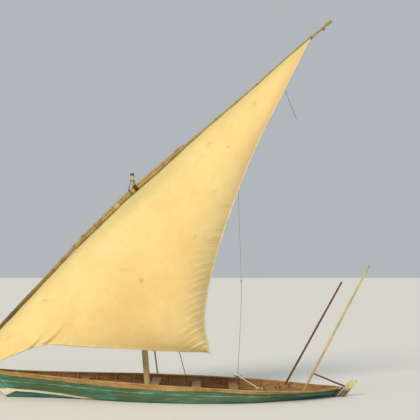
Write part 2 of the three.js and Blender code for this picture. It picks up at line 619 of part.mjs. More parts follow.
// Tiller, cut off where it meets the forward edge of the rudder's head
const tillerAft = [4100, 0, 203], tillerFore = [3326, 0, 515];
const behindEdge = solidOf(sidePlate([
  fromHinge(edgeAft - gap, 0), fromHinge(edgeAft - gap, 900), fromHinge(600, 900), fromHinge(600, 0),
], 200));
const tiller = solidOf(taperedPole(straight(tillerAft, tillerFore), [22, 15], 4, 12));
addNode('tiller', geometryOf(tiller.subtract(behindEdge)), 'darkPole');

// Long setting poles, each standing in a chock on the stern deck.
// columns: side, foot, head, finish, the chock's middle as x and y
const poles = [
  ['port', [3024, -481, 140], [4510, -600, 2943], 'poleWood', 3041, -480],
  ['starboard', [2703, 600, 140], [4080, 640, 2564], 'darkPole', 2716, 598],
];
const poleRadii = [24, 24, 21], chockSize = 150, chockTop = 200, holeClear = 1.5;
for (const [word, foot, head, finish, x, y] of poles) {
  const line = straight(foot, head);
  addNode(`setting_pole_${word}`, taperedPole(line, poleRadii, 6, 12), finish);
  const half = chockSize / 2, wide = poleRadii.map((radius) => radius + holeClear);
  const chock = solidOf(boxFrom(x - half, x + half, y - half, y + half, sterndeckZ + gap, chockTop));
  const below = line.getPointAt(0).sub(line.getTangentAt(0).multiplyScalar(60)).toArray();
  const hole = solidOf(taperedPole(straight(below, head), wide, 6, 12));
  addNode(`pole_chock_${word}`, geometryOf(chock.intersect(insidePlanks).subtract(hole)), 'greyWood');
}

// Standing rigging on the windward side and the halyard. columns: name, low end, high end, radius
const rigging = [
  ['shroud_fore', [-250, 1085, 395], [-768, 58, 4810], 9],
  ['shroud_aft', [420, 1130, 362], [-744, 55, 4800], 9],
  ['halyard', [-200, 812, 345], [-802, 50, 4880], 9],
];
for (const [name, low, high, radius] of rigging) {
  addNode(name, taperedPole(straight(low, high), [radius, radius], 2, 8), 'rope');
}

export default group;
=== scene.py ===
import json
import math

import bmesh
import bpy
import numpy as np
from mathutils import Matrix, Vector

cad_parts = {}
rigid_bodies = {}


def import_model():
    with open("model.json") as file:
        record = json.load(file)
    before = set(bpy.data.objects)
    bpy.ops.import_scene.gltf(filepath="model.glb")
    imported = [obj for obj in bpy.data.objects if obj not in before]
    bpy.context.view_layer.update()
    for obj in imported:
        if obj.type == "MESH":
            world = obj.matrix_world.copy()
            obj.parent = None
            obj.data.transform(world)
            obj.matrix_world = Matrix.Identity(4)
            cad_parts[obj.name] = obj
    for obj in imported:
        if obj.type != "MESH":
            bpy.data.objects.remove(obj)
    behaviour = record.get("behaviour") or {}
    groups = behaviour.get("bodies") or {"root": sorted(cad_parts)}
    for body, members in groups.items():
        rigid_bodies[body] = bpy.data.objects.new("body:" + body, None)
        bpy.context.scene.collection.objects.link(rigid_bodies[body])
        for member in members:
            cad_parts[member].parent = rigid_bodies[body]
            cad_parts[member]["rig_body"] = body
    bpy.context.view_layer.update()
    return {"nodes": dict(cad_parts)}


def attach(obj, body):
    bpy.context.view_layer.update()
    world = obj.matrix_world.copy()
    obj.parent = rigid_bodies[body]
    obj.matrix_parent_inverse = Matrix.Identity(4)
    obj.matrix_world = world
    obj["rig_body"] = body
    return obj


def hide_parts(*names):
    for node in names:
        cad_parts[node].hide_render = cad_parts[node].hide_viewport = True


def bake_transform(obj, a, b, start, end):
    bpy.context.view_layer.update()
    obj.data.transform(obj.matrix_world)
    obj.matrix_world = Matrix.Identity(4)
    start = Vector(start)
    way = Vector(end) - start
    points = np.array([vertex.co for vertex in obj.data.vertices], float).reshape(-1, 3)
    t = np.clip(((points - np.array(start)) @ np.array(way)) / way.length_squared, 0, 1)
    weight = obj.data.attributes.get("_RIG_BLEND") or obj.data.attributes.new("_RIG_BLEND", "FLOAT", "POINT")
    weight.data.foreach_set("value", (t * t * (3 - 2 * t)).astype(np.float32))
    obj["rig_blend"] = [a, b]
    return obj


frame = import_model()
scene = bpy.context.scene
print("frame loaded")

# Camera, as low over the water as the boat is seen from. Metres, with the tilt in degrees and the lens in mm
cameraSettings = {"place": (1.0, -20.0, 2.68), "tiltUp": 4.354, "lens": 75.43, "sensor": 36.0,
                  "farthest": 4000}
cameraData = bpy.data.cameras.new("camera")
cameraData.lens = cameraSettings["lens"]
cameraData.sensor_width = cameraSettings["sensor"]
cameraData.clip_end = cameraSettings["farthest"]
camera = bpy.data.objects.new("camera", cameraData)
camera.location = cameraSettings["place"]
camera.rotation_euler = (math.radians(90 + cameraSettings["tiltUp"]), 0, 0)
scene.collection.objects.link(camera)
scene.camera = camera


def linear(hexColour):
    # sRGB hex to linear, with alpha
    parts = [int(hexColour[i:i + 2], 16) / 255 for i in (1, 3, 5)]
    return tuple(c / 12.92 if c < 0.04045 else ((c + 0.055) / 1.055) ** 2.4 for c in parts) + (1.0,)


def outputOf(source):
    # a node stands for its first working output, a (node, output) pair for the one named, a value for none
    if isinstance(source, bpy.types.Node):
        return next(output for output in source.outputs if output.enabled)
    if isinstance(source, tuple) and isinstance(source[0], bpy.types.Node):
        return source[0].outputs[source[1]]
    return None


def addNode(tree, kind, inputs=None, stops=None, into=None, **settings):
    # inputs gives each socket, by name or number, a value or a source to link. into is the (node, socket)
    # that the new node feeds.
    made = tree.nodes.new("ShaderNode" + kind)
    for key, value in settings.items():
        setattr(made, key, value)
    for socket, value in (inputs or {}).items():
        output = outputOf(value)
        if output:
            tree.links.new(output, made.inputs[socket])
        else:
            made.inputs[socket].default_value = value
    if stops:
        ramp = made.color_ramp
        while len(ramp.elements) < len(stops):
            ramp.elements.new(1.0)
        for element, (place, colour) in zip(ramp.elements, stops):
            element.position = place
            element.color = linear(colour)
    if into:
        tree.links.new(outputOf(made), into[0].inputs[into[1]])
    return made


def newMaterial(name, roughness, **values):
    material = bpy.data.materials.new(name)
    material.use_nodes = True
    tree = material.node_tree
    shader = tree.nodes["Principled BSDF"]
    shader.inputs["Roughness"].default_value = roughness
    for socket, value in values.items():
        shader.inputs[socket.replace("_", " ")].default_value = value
    return material, tree, shader


def unit(way):
    return way / np.linalg.norm(way, axis=-1, keepdims=True)


def circle(sides, wide=1.0, tall=None):
    # corners evenly round a circle of the radius wide, or round an ellipse when it is given a height too
    angle = np.linspace(0, 2 * np.pi, sides, endpoint=False)
    return np.stack([wide * np.cos(angle), (tall or wide) * np.sin(angle)], -1)


def lengthOf(path):
    return float(np.linalg.norm(np.diff(np.asarray(path, float), axis=0), axis=1).sum())


def interpolated(at, places, line):
    # points of a line at the given places, each coordinate by itself
    return np.stack([np.interp(at, places, column) for column in line.T], -1)


def evenly(curve, count):
    # the same line with count points evenly spaced by length
    run = np.concatenate([[0], np.cumsum(np.linalg.norm(np.diff(curve, axis=0), axis=1))])
    return interpolated(np.linspace(0, run[-1], count), run, curve)


def evenRing(ring, count):
    # the same closed line, whose last point doesn't repeat its first
    return evenly(np.concatenate([ring, ring[:1]]), count + 1)[:-1]


def hermite(s, start, leaving, end, arriving):
    # cubic span from 0 to 1: (2s^3 - 3s^2 + 1) start + (s^3 - 2s^2 + s) slope on leaving it
    # + (3s^2 - 2s^3) end + (s^3 - s^2) slope on arriving there
    return ((2 * s**3 - 3 * s**2 + 1) * start + (s**3 - 2 * s**2 + s) * leaving
            + (3 * s**2 - 2 * s**3) * end + (s**3 - s**2) * arriving)


def smoothPath(points, count):
    # centripetal Catmull-Rom curve through the points, then count points evenly spaced along its length
    p = np.array(points, float)
    p = np.concatenate([[2 * p[0] - p[1]], p, [2 * p[-1] - p[-2]]])
    step = np.linalg.norm(np.diff(p, axis=0), axis=1)[:, None] ** 0.5
    p0, p1, p2, p3 = p[:-3], p[1:-2], p[2:-1], p[3:]
    d0, d1, d2 = step[:-2], step[1:-1], step[2:]
    out = ((p1 - p0) / d0 - (p2 - p0) / (d0 + d1) + (p2 - p1) / d1) * d1
    into = ((p2 - p1) / d1 - (p3 - p1) / (d1 + d2) + (p3 - p2) / d2) * d1
    s = np.linspace(0, 1, 60, endpoint=False)[None, :, None]
    curve = hermite(s, p1[:, None], out[:, None], p2[:, None], into[:, None])
    return evenly(np.concatenate([curve.reshape(-1, p.shape[1]), p[-2][None]]), count)


def gridQuads(rows, columns, loop=False):
    # faces of a grid whose last column joins its first, and in a loop its last row the first one too
    r, c = np.meshgrid(np.arange(rows if loop else rows - 1), np.arange(columns), indexing="ij")
    n, below = (c + 1) % columns, (r + 1) % rows * columns
    return np.stack([r * columns + c, r * columns + n, below + n, below + c], -1).reshape(-1, 4)


def newMesh(name, points, polygons, materials):
    mesh = bpy.data.meshes.new(name)
    mesh.from_pydata(points.reshape(-1, 3).tolist(), [], polygons)
    mesh.polygons.foreach_set("use_smooth", np.ones(len(mesh.polygons), bool))
    for material in materials:
        mesh.materials.append(material)
    return mesh


def addAttribute(mesh, name, values):
    layer = mesh.attributes.new(name, "FLOAT", "POINT")
    layer.data.foreach_set("value", np.asarray(values, np.float32).ravel())


def addPiece(name, mesh, body, replaces=(), blend=None):
    # blend holds the places where the piece goes with the hull and with the rig
    piece = bpy.data.objects.new(name, mesh)
    scene.collection.objects.link(piece)
    if blend:
        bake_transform(piece, "hull", "rig", start=tuple(blend[0]), end=tuple(blend[1]))
    else:
        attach(piece, body)
    if replaces:
        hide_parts(*replaces)
    return piece


def makePiece(name, grid, body, materials, replaces=(), materialOf=None, uv=None, attributes=None,
              blend=None, sharp=None):
    # A closed mesh from a grid of points, rows x columns x 3: its last column joins the first, and a face
    # closes each end. materialOf gives each column's material, sharp the angle from which edges stay hard.
    rows, columns = grid.shape[:2]
    quads = gridQuads(rows, columns)
    first, last = list(range(columns)), list(range((rows - 1) * columns, rows * columns))
    # turned outwards by the sign of the enclosed volume
    a, b, d, e = (grid.reshape(-1, 3)[quads[:, k]] for k in range(4))
    insideOut = (np.cross(b, d) * a).sum() + (np.cross(d, e) * a).sum() < 0
    if insideOut:
        quads, ends = quads[:, ::-1], [first, last[::-1]]
    else:
        ends = [first[::-1], last]
    mesh = newMesh(name, grid, quads.tolist() + ends, materials)
    if uv is not None:
        # u runs across the columns and v along the rows, in metres
        us, vs = uv
        r, c = np.meshgrid(np.arange(rows - 1), np.arange(columns), indexing="ij")
        u = np.stack([us[c], us[c + 1], us[c + 1], us[c]], -1).reshape(-1, 4)
        v = np.stack([vs[r], vs[r], vs[r + 1], vs[r + 1]], -1).reshape(-1, 4)
        if insideOut:
            u, v = u[:, ::-1], v[:, ::-1]
        flat = np.zeros((len(mesh.loops), 2), np.float32)
        flat[:quads.size] = np.stack([u.ravel(), v.ravel()], 1)
        mesh.uv_layers.new(name="lay").data.foreach_set("uv", flat.ravel())
    for key, values in (attributes or {}).items():
        addAttribute(mesh, key, values)
    if materialOf is not None:
        index = np.zeros(len(mesh.polygons), np.int32)
        index[:len(quads)] = np.broadcast_to(materialOf, (rows - 1, columns)).ravel()
        mesh.polygons.foreach_set("material_index", index)
    if sharp:
        mesh.set_sharp_from_angle(angle=math.radians(sharp))
    mesh.update()
    return addPiece(name, mesh, body, replaces, blend)


def sweep(path, profile, reference=(0, 1, 0)):
    # A profile of (across, up) offsets, one for all stations or one for each, carried along the path.
    path = np.asarray(path, float)
    along = unit(np.gradient(path, axis=0))
    across = unit(np.cross(along, np.asarray(reference, float)))
    up = np.cross(across, along)
    profile = np.broadcast_to(profile, (len(path),) + profile.shape[-2:])
    return path[:, None] + profile[..., :1] * across[:, None] + profile[..., 1:] * up[:, None]


def endCap(grid, radius=0.6):
    # closes a pole's ends a little rounded, by a smaller ring 0.12 of the radius beyond each end ring
    def ring(end, nextOne):
        middle = end.mean(0)
        out = unit(middle - nextOne.mean(0))
        size = np.linalg.norm(end - middle, axis=1).mean()
        return middle + (end - middle) * radius + out * size * 0.12
    return np.concatenate([ring(grid[0], grid[1])[None], grid, ring(grid[-1], grid[-2])[None]])


# Rope of three strands. A turn is 3.6 diameters long and drawn with 10 rows of 9 corners.
ropeShape = {"sides": 9, "rowsInTurn": 10, "turn": 3.6, "strands": 3, "groove": 0.16}


def layRope(name, path, radius, body, material, reference=(0, 1, 0), replaces=(), blend=None):
    # the radius is 0.84 + 0.16 |cos(1.5 (angle - turns along))| of the full one
    length = lengthOf(path)
    turnLength = ropeShape["turn"] * 2 * radius
    count = max(int(length / turnLength * ropeShape["rowsInTurn"]), 8)
    sides = ropeShape["sides"]
    angle = np.arange(sides) * 2 * np.pi / sides
    turned = np.linspace(0, length, count)[:, None] / turnLength * 2 * np.pi
    crown = np.abs(np.cos(ropeShape["strands"] / 2 * (angle[None] - turned)))
    r = radius * (1 - ropeShape["groove"] * (1 - crown))
    grid = sweep(evenly(np.asarray(path, float), count), r[..., None] * circle(sides), reference)
    uv = (np.arange(sides + 1) / sides * 2 * np.pi * radius, np.linspace(0, length, count + 2))
    return makePiece(name, endCap(grid), body, [material], replaces, uv=uv, blend=blend)


# Hull shape, on the stations of the frame. t runs from the stem rabbet (0) to the sternpost rabbet (1).
hull = {
    # t, rail top, half breadth at the rail and at the waterline, roundness, depth of the rail's plank
    "stations": np.array([
        [0.00, 0.650, 0.038, 0.038, 1.0, 0.092],
        [0.05, 0.590, 0.196, 0.092, 1.0, 0.096],
        [0.14, 0.535, 0.380, 0.220, 1.1, 0.104],
        [0.25, 0.480, 0.680, 0.500, 1.4, 0.118],
        [0.38, 0.420, 0.970, 0.860, 1.8, 0.132],
        [0.50, 0.365, 1.120, 1.050, 2.1, 0.140],
        [0.62, 0.324, 1.182, 1.130, 2.2, 0.112],
        [0.74, 0.282, 1.128, 1.040, 2.0, 0.084],
        [0.85, 0.243, 0.882, 0.680, 1.6, 0.058],
        [0.93, 0.217, 0.547, 0.340, 1.2, 0.044],
        [1.00, 0.228, 0.038, 0.038, 1.0, 0.042],
    ]),
    "stemSlope": -1.02, "postSlope": 0.84, "stemRabbet": -3.360, "postRabbet": 3.720,
    "keelFore": -0.420, "keelAft": -0.600, "keelHalf": 0.030,
    "plank": 0.025, "cap": 0.028, "railInner": 0.001, "railOuter": 0.029, "narrowest": 0.004,
    # at places t, how much taller than the frame's the rail stands, how much narrower its plank is, and how
    # much higher than half the rail's height the upper seam lies
    "railRaise": ([0.28, 0.42, 0.58, 0.72], [0, 0.014, 0.014, 0]),
    "railNarrow": ([0.25, 0.40, 0.46, 0.54, 0.62, 0.67, 0.72, 0.76],
                   [0, 0.020, 0.028, 0.052, 0.054, 0.032, 0.008, 0]),
    "seamRaise": ([0, 0.15, 0.296, 0.41], [0.055, 0.058, 0.013, 0]),
}
bothSides = (("port", -1), ("starboard", 1))


def atStation(t, column):
    # smooth value of one column between the stations
    table = hull["stations"]
    t = np.asarray(t, float)
    i = np.clip(np.searchsorted(table[:, 0], t) - 1, 0, len(table) - 2)
    every = np.arange(len(table))
    before, after = np.maximum(every - 1, 0), np.minimum(every + 1, len(table) - 1)
    slope = (table[after, column] - table[before, column]) / (table[after, 0] - table[before, 0])
    span = table[i + 1, 0] - table[i, 0]
    return hermite((t - table[i, 0]) / span, table[i, column], span * slope[i],
                   table[i + 1, column], span * slope[i + 1])


def railTop(t):
    return atStation(t, 1) + np.interp(t, *hull["railRaise"])


def railFoot(t):
    return atStation(t, 1) - atStation(t, 5) + np.interp(t, *hull["railNarrow"])


def keelTop(t):
    return hull["keelFore"] + (hull["keelAft"] - hull["keelFore"]) * t


def upperSeam(t):
    return 0.5 * railTop(t) + np.interp(t, *hull["seamRaise"])


def hullX(t, z):
    # a share t of the way from the raked stem rabbet to the raked sternpost rabbet at that height
    fore = hull["stemRabbet"] + hull["stemSlope"] * z
    return fore + (hull["postRabbet"] + hull["postSlope"] * z - fore) * t


def halfBreadth(t, z):
    # above the water it flares evenly, and below it narrows to the keel's by
    # (1 - depth^roundness)^(1.15 - 0.15 roundness), with depth from 0 at the water to 1 at the keel
    water = atStation(t, 3)
    flare = (atStation(t, 2) - water) / railTop(t)
    depth = np.clip(z / keelTop(t), 0, 1)
    rounded = atStation(t, 4)
    body = (1 - depth**rounded) ** (1 - 0.15 * (rounded - 1))
    below = hull["keelHalf"] + (water - hull["keelHalf"]) * body + flare * z * (1 - depth)
    return np.where(z >= 0, water + flare * z, below)


def hullPoint(t, z, side, out):
    # a point that stands out from the planking's face by a distance, square to it, and stays on its own side.
    # The slopes are taken over small steps in height and in t.
    dz, dt = 0.004, 0.004
    lean = (halfBreadth(t, z + dz) - halfBreadth(t, z - dz)) / (2 * dz)
    t0, t1 = np.maximum(t - dt, 0), np.minimum(t + dt, 1)
    run = (halfBreadth(t1, z) - halfBreadth(t0, z)) / (hullX(t1, z) - hullX(t0, z))
    half = np.maximum(halfBreadth(t, z) + out * np.sqrt(1 + lean**2 + run**2), hull["narrowest"])
    return np.stack(np.broadcast_arrays(hullX(t, z), side * half, z), -1)


def objectCoordinates(tree, repeats):
    # places on the piece, as pattern repeats in a metre along each axis
    place = addNode(tree, "TexCoord")
    return addNode(tree, "Mapping", {0: (place, "Object"), "Scale": repeats})


def objectAxes(tree):
    place = addNode(tree, "TexCoord")
    return addNode(tree, "SeparateXYZ", {0: (place, "Object")})


# Sawn or peeled timber: streaked grain along one axis, weathered to grey in patches, slightly rough
def timber(name, dark, light, grey, weather=0.35, grain=(0.5, 9, 9), wetAndShadedBelow=None, aged=None):
    # grain is the pattern's repeats in a metre along and across the board, and grey patches are about 0.3 m.
    # wetAndShadedBelow is the height up to which the wood is darker, wet and in painted shade, aged the
    # heights between which old brown wood turns bright.
    material, tree, shader = newMaterial(name, 0.72)
    along = objectCoordinates(tree, grain)
    fine = objectCoordinates(tree, tuple(6 * repeats for repeats in grain))
    broad = objectCoordinates(tree, (3, 3, 3))
    streak = addNode(tree, "TexNoise", {"Vector": along, "Scale": 1.6, "Detail": 8.0, "Roughness": 0.62})
    thread = addNode(tree, "TexNoise", {"Vector": fine, "Scale": 2.2, "Detail": 4.0, "Roughness": 0.7})
    patch = addNode(tree, "TexNoise", {"Vector": broad, "Scale": 1.1, "Detail": 5.0, "Roughness": 0.6})
    base = addNode(tree, "ValToRGB", {0: streak}, stops=[(0.32, dark), (0.68, light)])
    lines = addNode(tree, "MapRange", {0: thread, 1: 0.35, 2: 0.7, 3: 0.72, 4: 1.12})
    worn = addNode(tree, "MapRange", {0: patch, 1: 0.42, 2: 0.66, 4: weather})
    shaded = addNode(tree, "VectorMath", {0: base, "Scale": lines}, operation="SCALE")
    colour = addNode(tree, "Mix", {0: worn, 6: shaded, 7: linear(grey)}, data_type="RGBA")
    # painted shade with wet wood: darker below the given height, with a ragged edge
    if wetAndShadedBelow is not None:
        axes = objectAxes(tree)
        ragged = addNode(tree, "Math", {0: streak, 1: -0.22, 2: (axes, "Z")}, operation="MULTIPLY_ADD")
        wetAndShade = addNode(tree, "MapRange", {0: ragged, 1: wetAndShadedBelow - 0.14, 2: wetAndShadedBelow - 0.07, 3: 0.85, 4: 0.0})
        colour = addNode(tree, "Mix", {0: wetAndShade, 6: colour, 7: linear("#3d3a28")}, data_type="RGBA")
    if aged is not None:
        axes = objectAxes(tree)
        brown = addNode(tree, "MapRange", {0: (axes, "Z"), 1: aged[0], 2: aged[1], 3: 0.8, 4: 0.0})
        colour = addNode(tree, "Mix", {0: brown, 6: colour, 7: linear("#54401c")}, data_type="RGBA")
    tree.links.new(outputOf(colour), shader.inputs["Base Color"])
    addNode(tree, "Bump", {"Strength": 0.35, "Distance": 0.004, "Height": thread}, into=(shader, "Normal"))
    return material


# White band along the hull between the green paint and the blue: its top falls below the water abaft the fore
# thwart. At the stem's foot the white goes on below it, down to where x - 2.5 z is footLimit.
whiteBand = {
    "x": [-3.6, -3.36, -2.87, -2.6, -2.3, -2.0, -1.67, -1.4, 0, 2, 3.8],
    "top": [0.205, 0.188, 0.163, 0.139, 0.115, 0.081, 0.052, 0.0, -0.08, -0.12, -0.05],
    "deep": 0.045, "edge": 0.003, "footLean": -2.5, "footLimit": (-3.705, -3.680), "colour": "#ded8b6",
}


def aboveBand(points):
    # height over the top of the white band
    return points[..., 2] - np.interp(points[..., 0], whiteBand["x"], whiteBand["top"])


# Brushed oil paint over planks: soft gloss, brush streaks, teal streaks of painted highlight, dull patches
# where sun and salt have worn it, and painted shade in a dark band just above the water
def oilPaint(name, top, bare, wear=0.5, under=None, strokesAndSheen=0.5, stains=0.6):
    # top and under are the two tones of the paint above the white band and below it. The paint above it
    # darkens towards the stern, painted shade where the hull turns under, and is chafed through in places.
    # Without under there is no band.
    material, tree, shader = newMaterial(name, 0.42)
    along = objectCoordinates(tree, (0.7, 6, 14))
    broad = objectCoordinates(tree, (1.1, 1, 3.5))
    axes = objectAxes(tree)
    streak = addNode(tree, "TexNoise", {"Vector": along, "Scale": 2.0, "Detail": 8.0, "Roughness": 0.65})
    patch = addNode(tree, "TexNoise", {"Vector": broad, "Scale": 1.3, "Detail": 6.0, "Roughness": 0.6})
    tone = addNode(tree, "MapRange", {0: patch, 1: 0.36, 2: 0.64})
    colour = addNode(tree, "Mix", {0: tone, 6: linear(top[0]), 7: linear(top[1])}, data_type="RGBA")
    # teal streaks, partly worn paint and partly painted highlight, brown stains and mould. columns: repeats
    # in a metre, the noise's scale, detail and roughness, where it starts and is full, strength, colour
    for repeats, scale, detail, rough, start, full, strength, tint in (
            ((0.5, 1, 7), 2.4, 5.0, 0.55, 0.54, 0.66, strokesAndSheen, "#4fae96"),
            ((0.5, 1, 7), 3.1, 7.0, 0.65, 0.53, 0.64, stains, "#4f5430"),
            ((0.9, 1, 5), 1.9, 7.0, 0.60, 0.47, 0.60, 0.9 * stains, "#4a5a34")):
        cloud = addNode(tree, "TexNoise", {"Vector": objectCoordinates(tree, repeats), "Scale": scale,
                                           "Detail": detail, "Roughness": rough})
        share = addNode(tree, "MapRange", {0: cloud, 1: start, 2: full, 4: strength})
        colour = addNode(tree, "Mix", {0: share, 6: colour, 7: linear(tint)}, data_type="RGBA")
    if under:
        # painted shade: the paint above the band darker towards the stern, where the hull turns under
        aft = addNode(tree, "MapRange", {0: (axes, "X"), 1: 0.7, 2: 2.4, 4: 0.5})
        colour = addNode(tree, "Mix", {0: aft, 6: colour, 7: linear("#1f5540")}, data_type="RGBA")
        chafe = addNode(tree, "Attribute", attribute_name="chafe")
        rough = addNode(tree, "Math", {0: streak, 1: 1.9}, operation="MULTIPLY")
        chafed = addNode(tree, "Math", {0: (chafe, "Fac"), 1: rough}, operation="MULTIPLY", use_clamp=True)
        colour = addNode(tree, "Mix", {0: chafed, 6: colour, 7: linear("#6a6230")}, data_type="RGBA")
        height = addNode(tree, "Attribute", attribute_name="paintLine")
        uneven = addNode(tree, "Math", {0: streak, 1: 0.03, 2: -0.015}, operation="MULTIPLY_ADD")
        edge = addNode(tree, "Math", {0: (height, "Fac"), 1: uneven}, operation="ADD")
        deep, soft = whiteBand["deep"], whiteBand["edge"]
        above = addNode(tree, "MapRange", {0: edge, 1: -soft, 2: soft})
        below = addNode(tree, "MapRange", {0: edge, 1: -deep - soft, 2: -deep + soft})
        blue = addNode(tree, "Mix", {0: tone, 6: linear(under[0]), 7: linear(under[1])}, data_type="RGBA")
        lean = addNode(tree, "Math", {0: (axes, "Z"), 1: whiteBand["footLean"], 2: (axes, "X")},
                       operation="MULTIPLY_ADD")
        low, high = whiteBand["footLimit"]
        foot = addNode(tree, "MapRange", {0: lean, 1: low, 2: high, 3: 1.0, 4: 0.0})
        white = addNode(tree, "Math", {0: foot, 1: below}, operation="MAXIMUM")
        band = addNode(tree, "Mix", {0: white, 6: blue, 7: linear(whiteBand["colour"])}, data_type="RGBA")
        colour = addNode(tree, "Mix", {0: above, 6: band, 7: colour}, data_type="RGBA")
    # painted shade: a dark band just above the water, its edge ragged with the brush streaks
    lap = addNode(tree, "Math", {0: streak, 1: -0.05, 2: (axes, "Z")}, operation="MULTIPLY_ADD")
    waterlineShade = addNode(tree, "MapRange", {0: lap, 1: -0.015, 2: 0.02, 3: 0.72, 4: 0.0})
    colour = addNode(tree, "Mix", {0: waterlineShade, 6: colour, 7: linear("#1d4038")}, data_type="RGBA")
    rub = addNode(tree, "Math", {0: streak, 1: patch}, operation="MULTIPLY")
    worn = addNode(tree, "MapRange", {0: rub, 1: 0.27, 2: 0.40, 4: wear})
    addNode(tree, "Mix", {0: worn, 6: colour, 7: linear(bare)}, data_type="RGBA", into=(shader, "Base Color"))
    addNode(tree, "MapRange", {0: worn, 3: 0.42, 4: 0.85}, into=(shader, "Roughness"))
    addNode(tree, "Bump", {"Strength": 0.25, "Distance": 0.004, "Height": streak}, into=(shader, "Normal"))
    return material


seaBlue = ("#235a5c", "#34706a")
paint = oilPaint("oilPaintedPlank", ("#32604a", "#4f7e5c"), "#66623e", 0.6, seaBlue, strokesAndSheen=0.6, stains=0.75)
stemPaint = oilPaint("oilPaintedStem", ("#46684a", "#5a8560"), "#6f6c4a", 0.5, seaBlue)
keelPaint = oilPaint("oilPaintedKeel", ("#2a5c60", "#38706c"), "#7d7350", 0.5, strokesAndSheen=0, stains=0.2)
# the bead's pale turquoise is a painted highlight along the upper seam
seamHighlightPaint = oilPaint("oilPaintedBeadHighlight", ("#4c8468", "#84bb9c"), "#4c6a46", 0.95, strokesAndSheen=0.4, stains=0.95)
# the batten's light blue is a painted highlight along the seam at the stem's rabbet
rabbetHighlightPaint = oilPaint("paleBlueHighlightPaint", ("#2f5f86", "#6a9db4"), "#7d7350", 0.4, strokesAndSheen=0, stains=0)
insideWood = timber("oiledPlanks", "#7b4f27", "#b98145", "#8f7a58", 0.4)
bareWood = timber("weatheredHardwood", "#7d5c30", "#b48c4e", "#a08a5e", 0.4)
railWood = timber("sunBleachedHardwood", "#80602c", "#c89a50", "#c4a878", 0.5)
greyWood = timber("greyWeatheredWood", "#5d5140", "#8e8064", "#7f7a68", 0.6)
# the sternpost and the rudder's stock are darker low down, wet and in painted shade
postWood = timber("wetAndShadedHardwood", "#6d5f3c", "#9c8c5e", "#7f7a5c", 0.5, (9, 9, 0.6), wetAndShadedBelow=0.30)
rudderWood = timber("palePlank", "#b99d5e", "#ecd79c", "#cdbf92", 0.4, (9, 9, 0.6), wetAndShadedBelow=0.17)
mastWood = timber("peeledMast", "#b59a66", "#e0cd98", "#b9ad8e", 0.35, (9, 9, 0.4))
yardWood = timber("peeledPole", "#96793c", "#cbb06a", "#a08c5c", 0.35, (3, 9, 3), aged=(1.9, 3.4))
poleWood = timber("bambooColouredPole", "#a88c4c", "#dfcb8c", "#b8a670", 0.35, (2, 9, 1.6))
capWood = timber("oldCapWood", "#3c4632", "#5f6a4c", "#6b6a50", 0.3)
darkWood = timber("mangrovePole", "#4c2e20", "#7a4e36", "#6b5545", 0.35, (2, 9, 1.6))


# Laid coir, nylon or cotton: hairy fibre, quite matt, lighter on the crowns of the strands
def rope(name, dark, light):
    material, tree, shader = newMaterial(name, 0.9)
    fibre = objectCoordinates(tree, (1, 1, 1))
    hair = addNode(tree, "TexNoise", {"Vector": fibre, "Scale": 160.0, "Detail": 3.0})
    broad = addNode(tree, "TexNoise", {"Vector": fibre, "Scale": 3.0, "Detail": 4.0})
    mixed = addNode(tree, "Math", {0: hair, 1: broad}, operation="MULTIPLY")
    addNode(tree, "ValToRGB", {0: mixed}, stops=[(0.16, dark), (0.36, light)], into=(shader, "Base Color"))
    addNode(tree, "Bump", {"Strength": 0.6, "Distance": 0.002, "Height": hair}, into=(shader, "Normal"))
    return material


coir = rope("laidCoir", "#6d5a34", "#b39c68")
paleLine = rope("paleNylonLine", "#a9c2a0", "#e0edcc")
darkLine = rope("tarredLine", "#4a3a1c", "#7a6530")
blueLine = rope("wornBlueLine", "#4f6e68", "#86a898")
slingLine = rope("blackenedLine", "#33260a", "#5e4814")
goldLine = rope("newCoir", "#7d6426", "#b8954a")
paleCoir = rope("washedCoir", "#a08a58", "#e2cf9c")
cottonRope = rope("bleachedCottonRope", "#cfc58e", "#f6efc4")


# Forged iron: rust over dark scale, pitted and matt
def forgedIron():
    material, tree, shader = newMaterial("rustyForgedIron", 0.75, Metallic=0.35)
    place = objectCoordinates(tree, (1, 1, 1))
    pits = addNode(tree, "TexNoise", {"Vector": place, "Scale": 70.0, "Detail": 8.0, "Roughness": 0.7})
    addNode(tree, "ValToRGB", {0: pits}, stops=[(0.36, "#2c2420"), (0.55, "#6b3d22"), (0.7, "#8c5a30")],
            into=(shader, "Base Color"))
    addNode(tree, "Bump", {"Strength": 0.5, "Distance": 0.002, "Height": pits}, into=(shader, "Normal"))
    return material


iron = forgedIron()
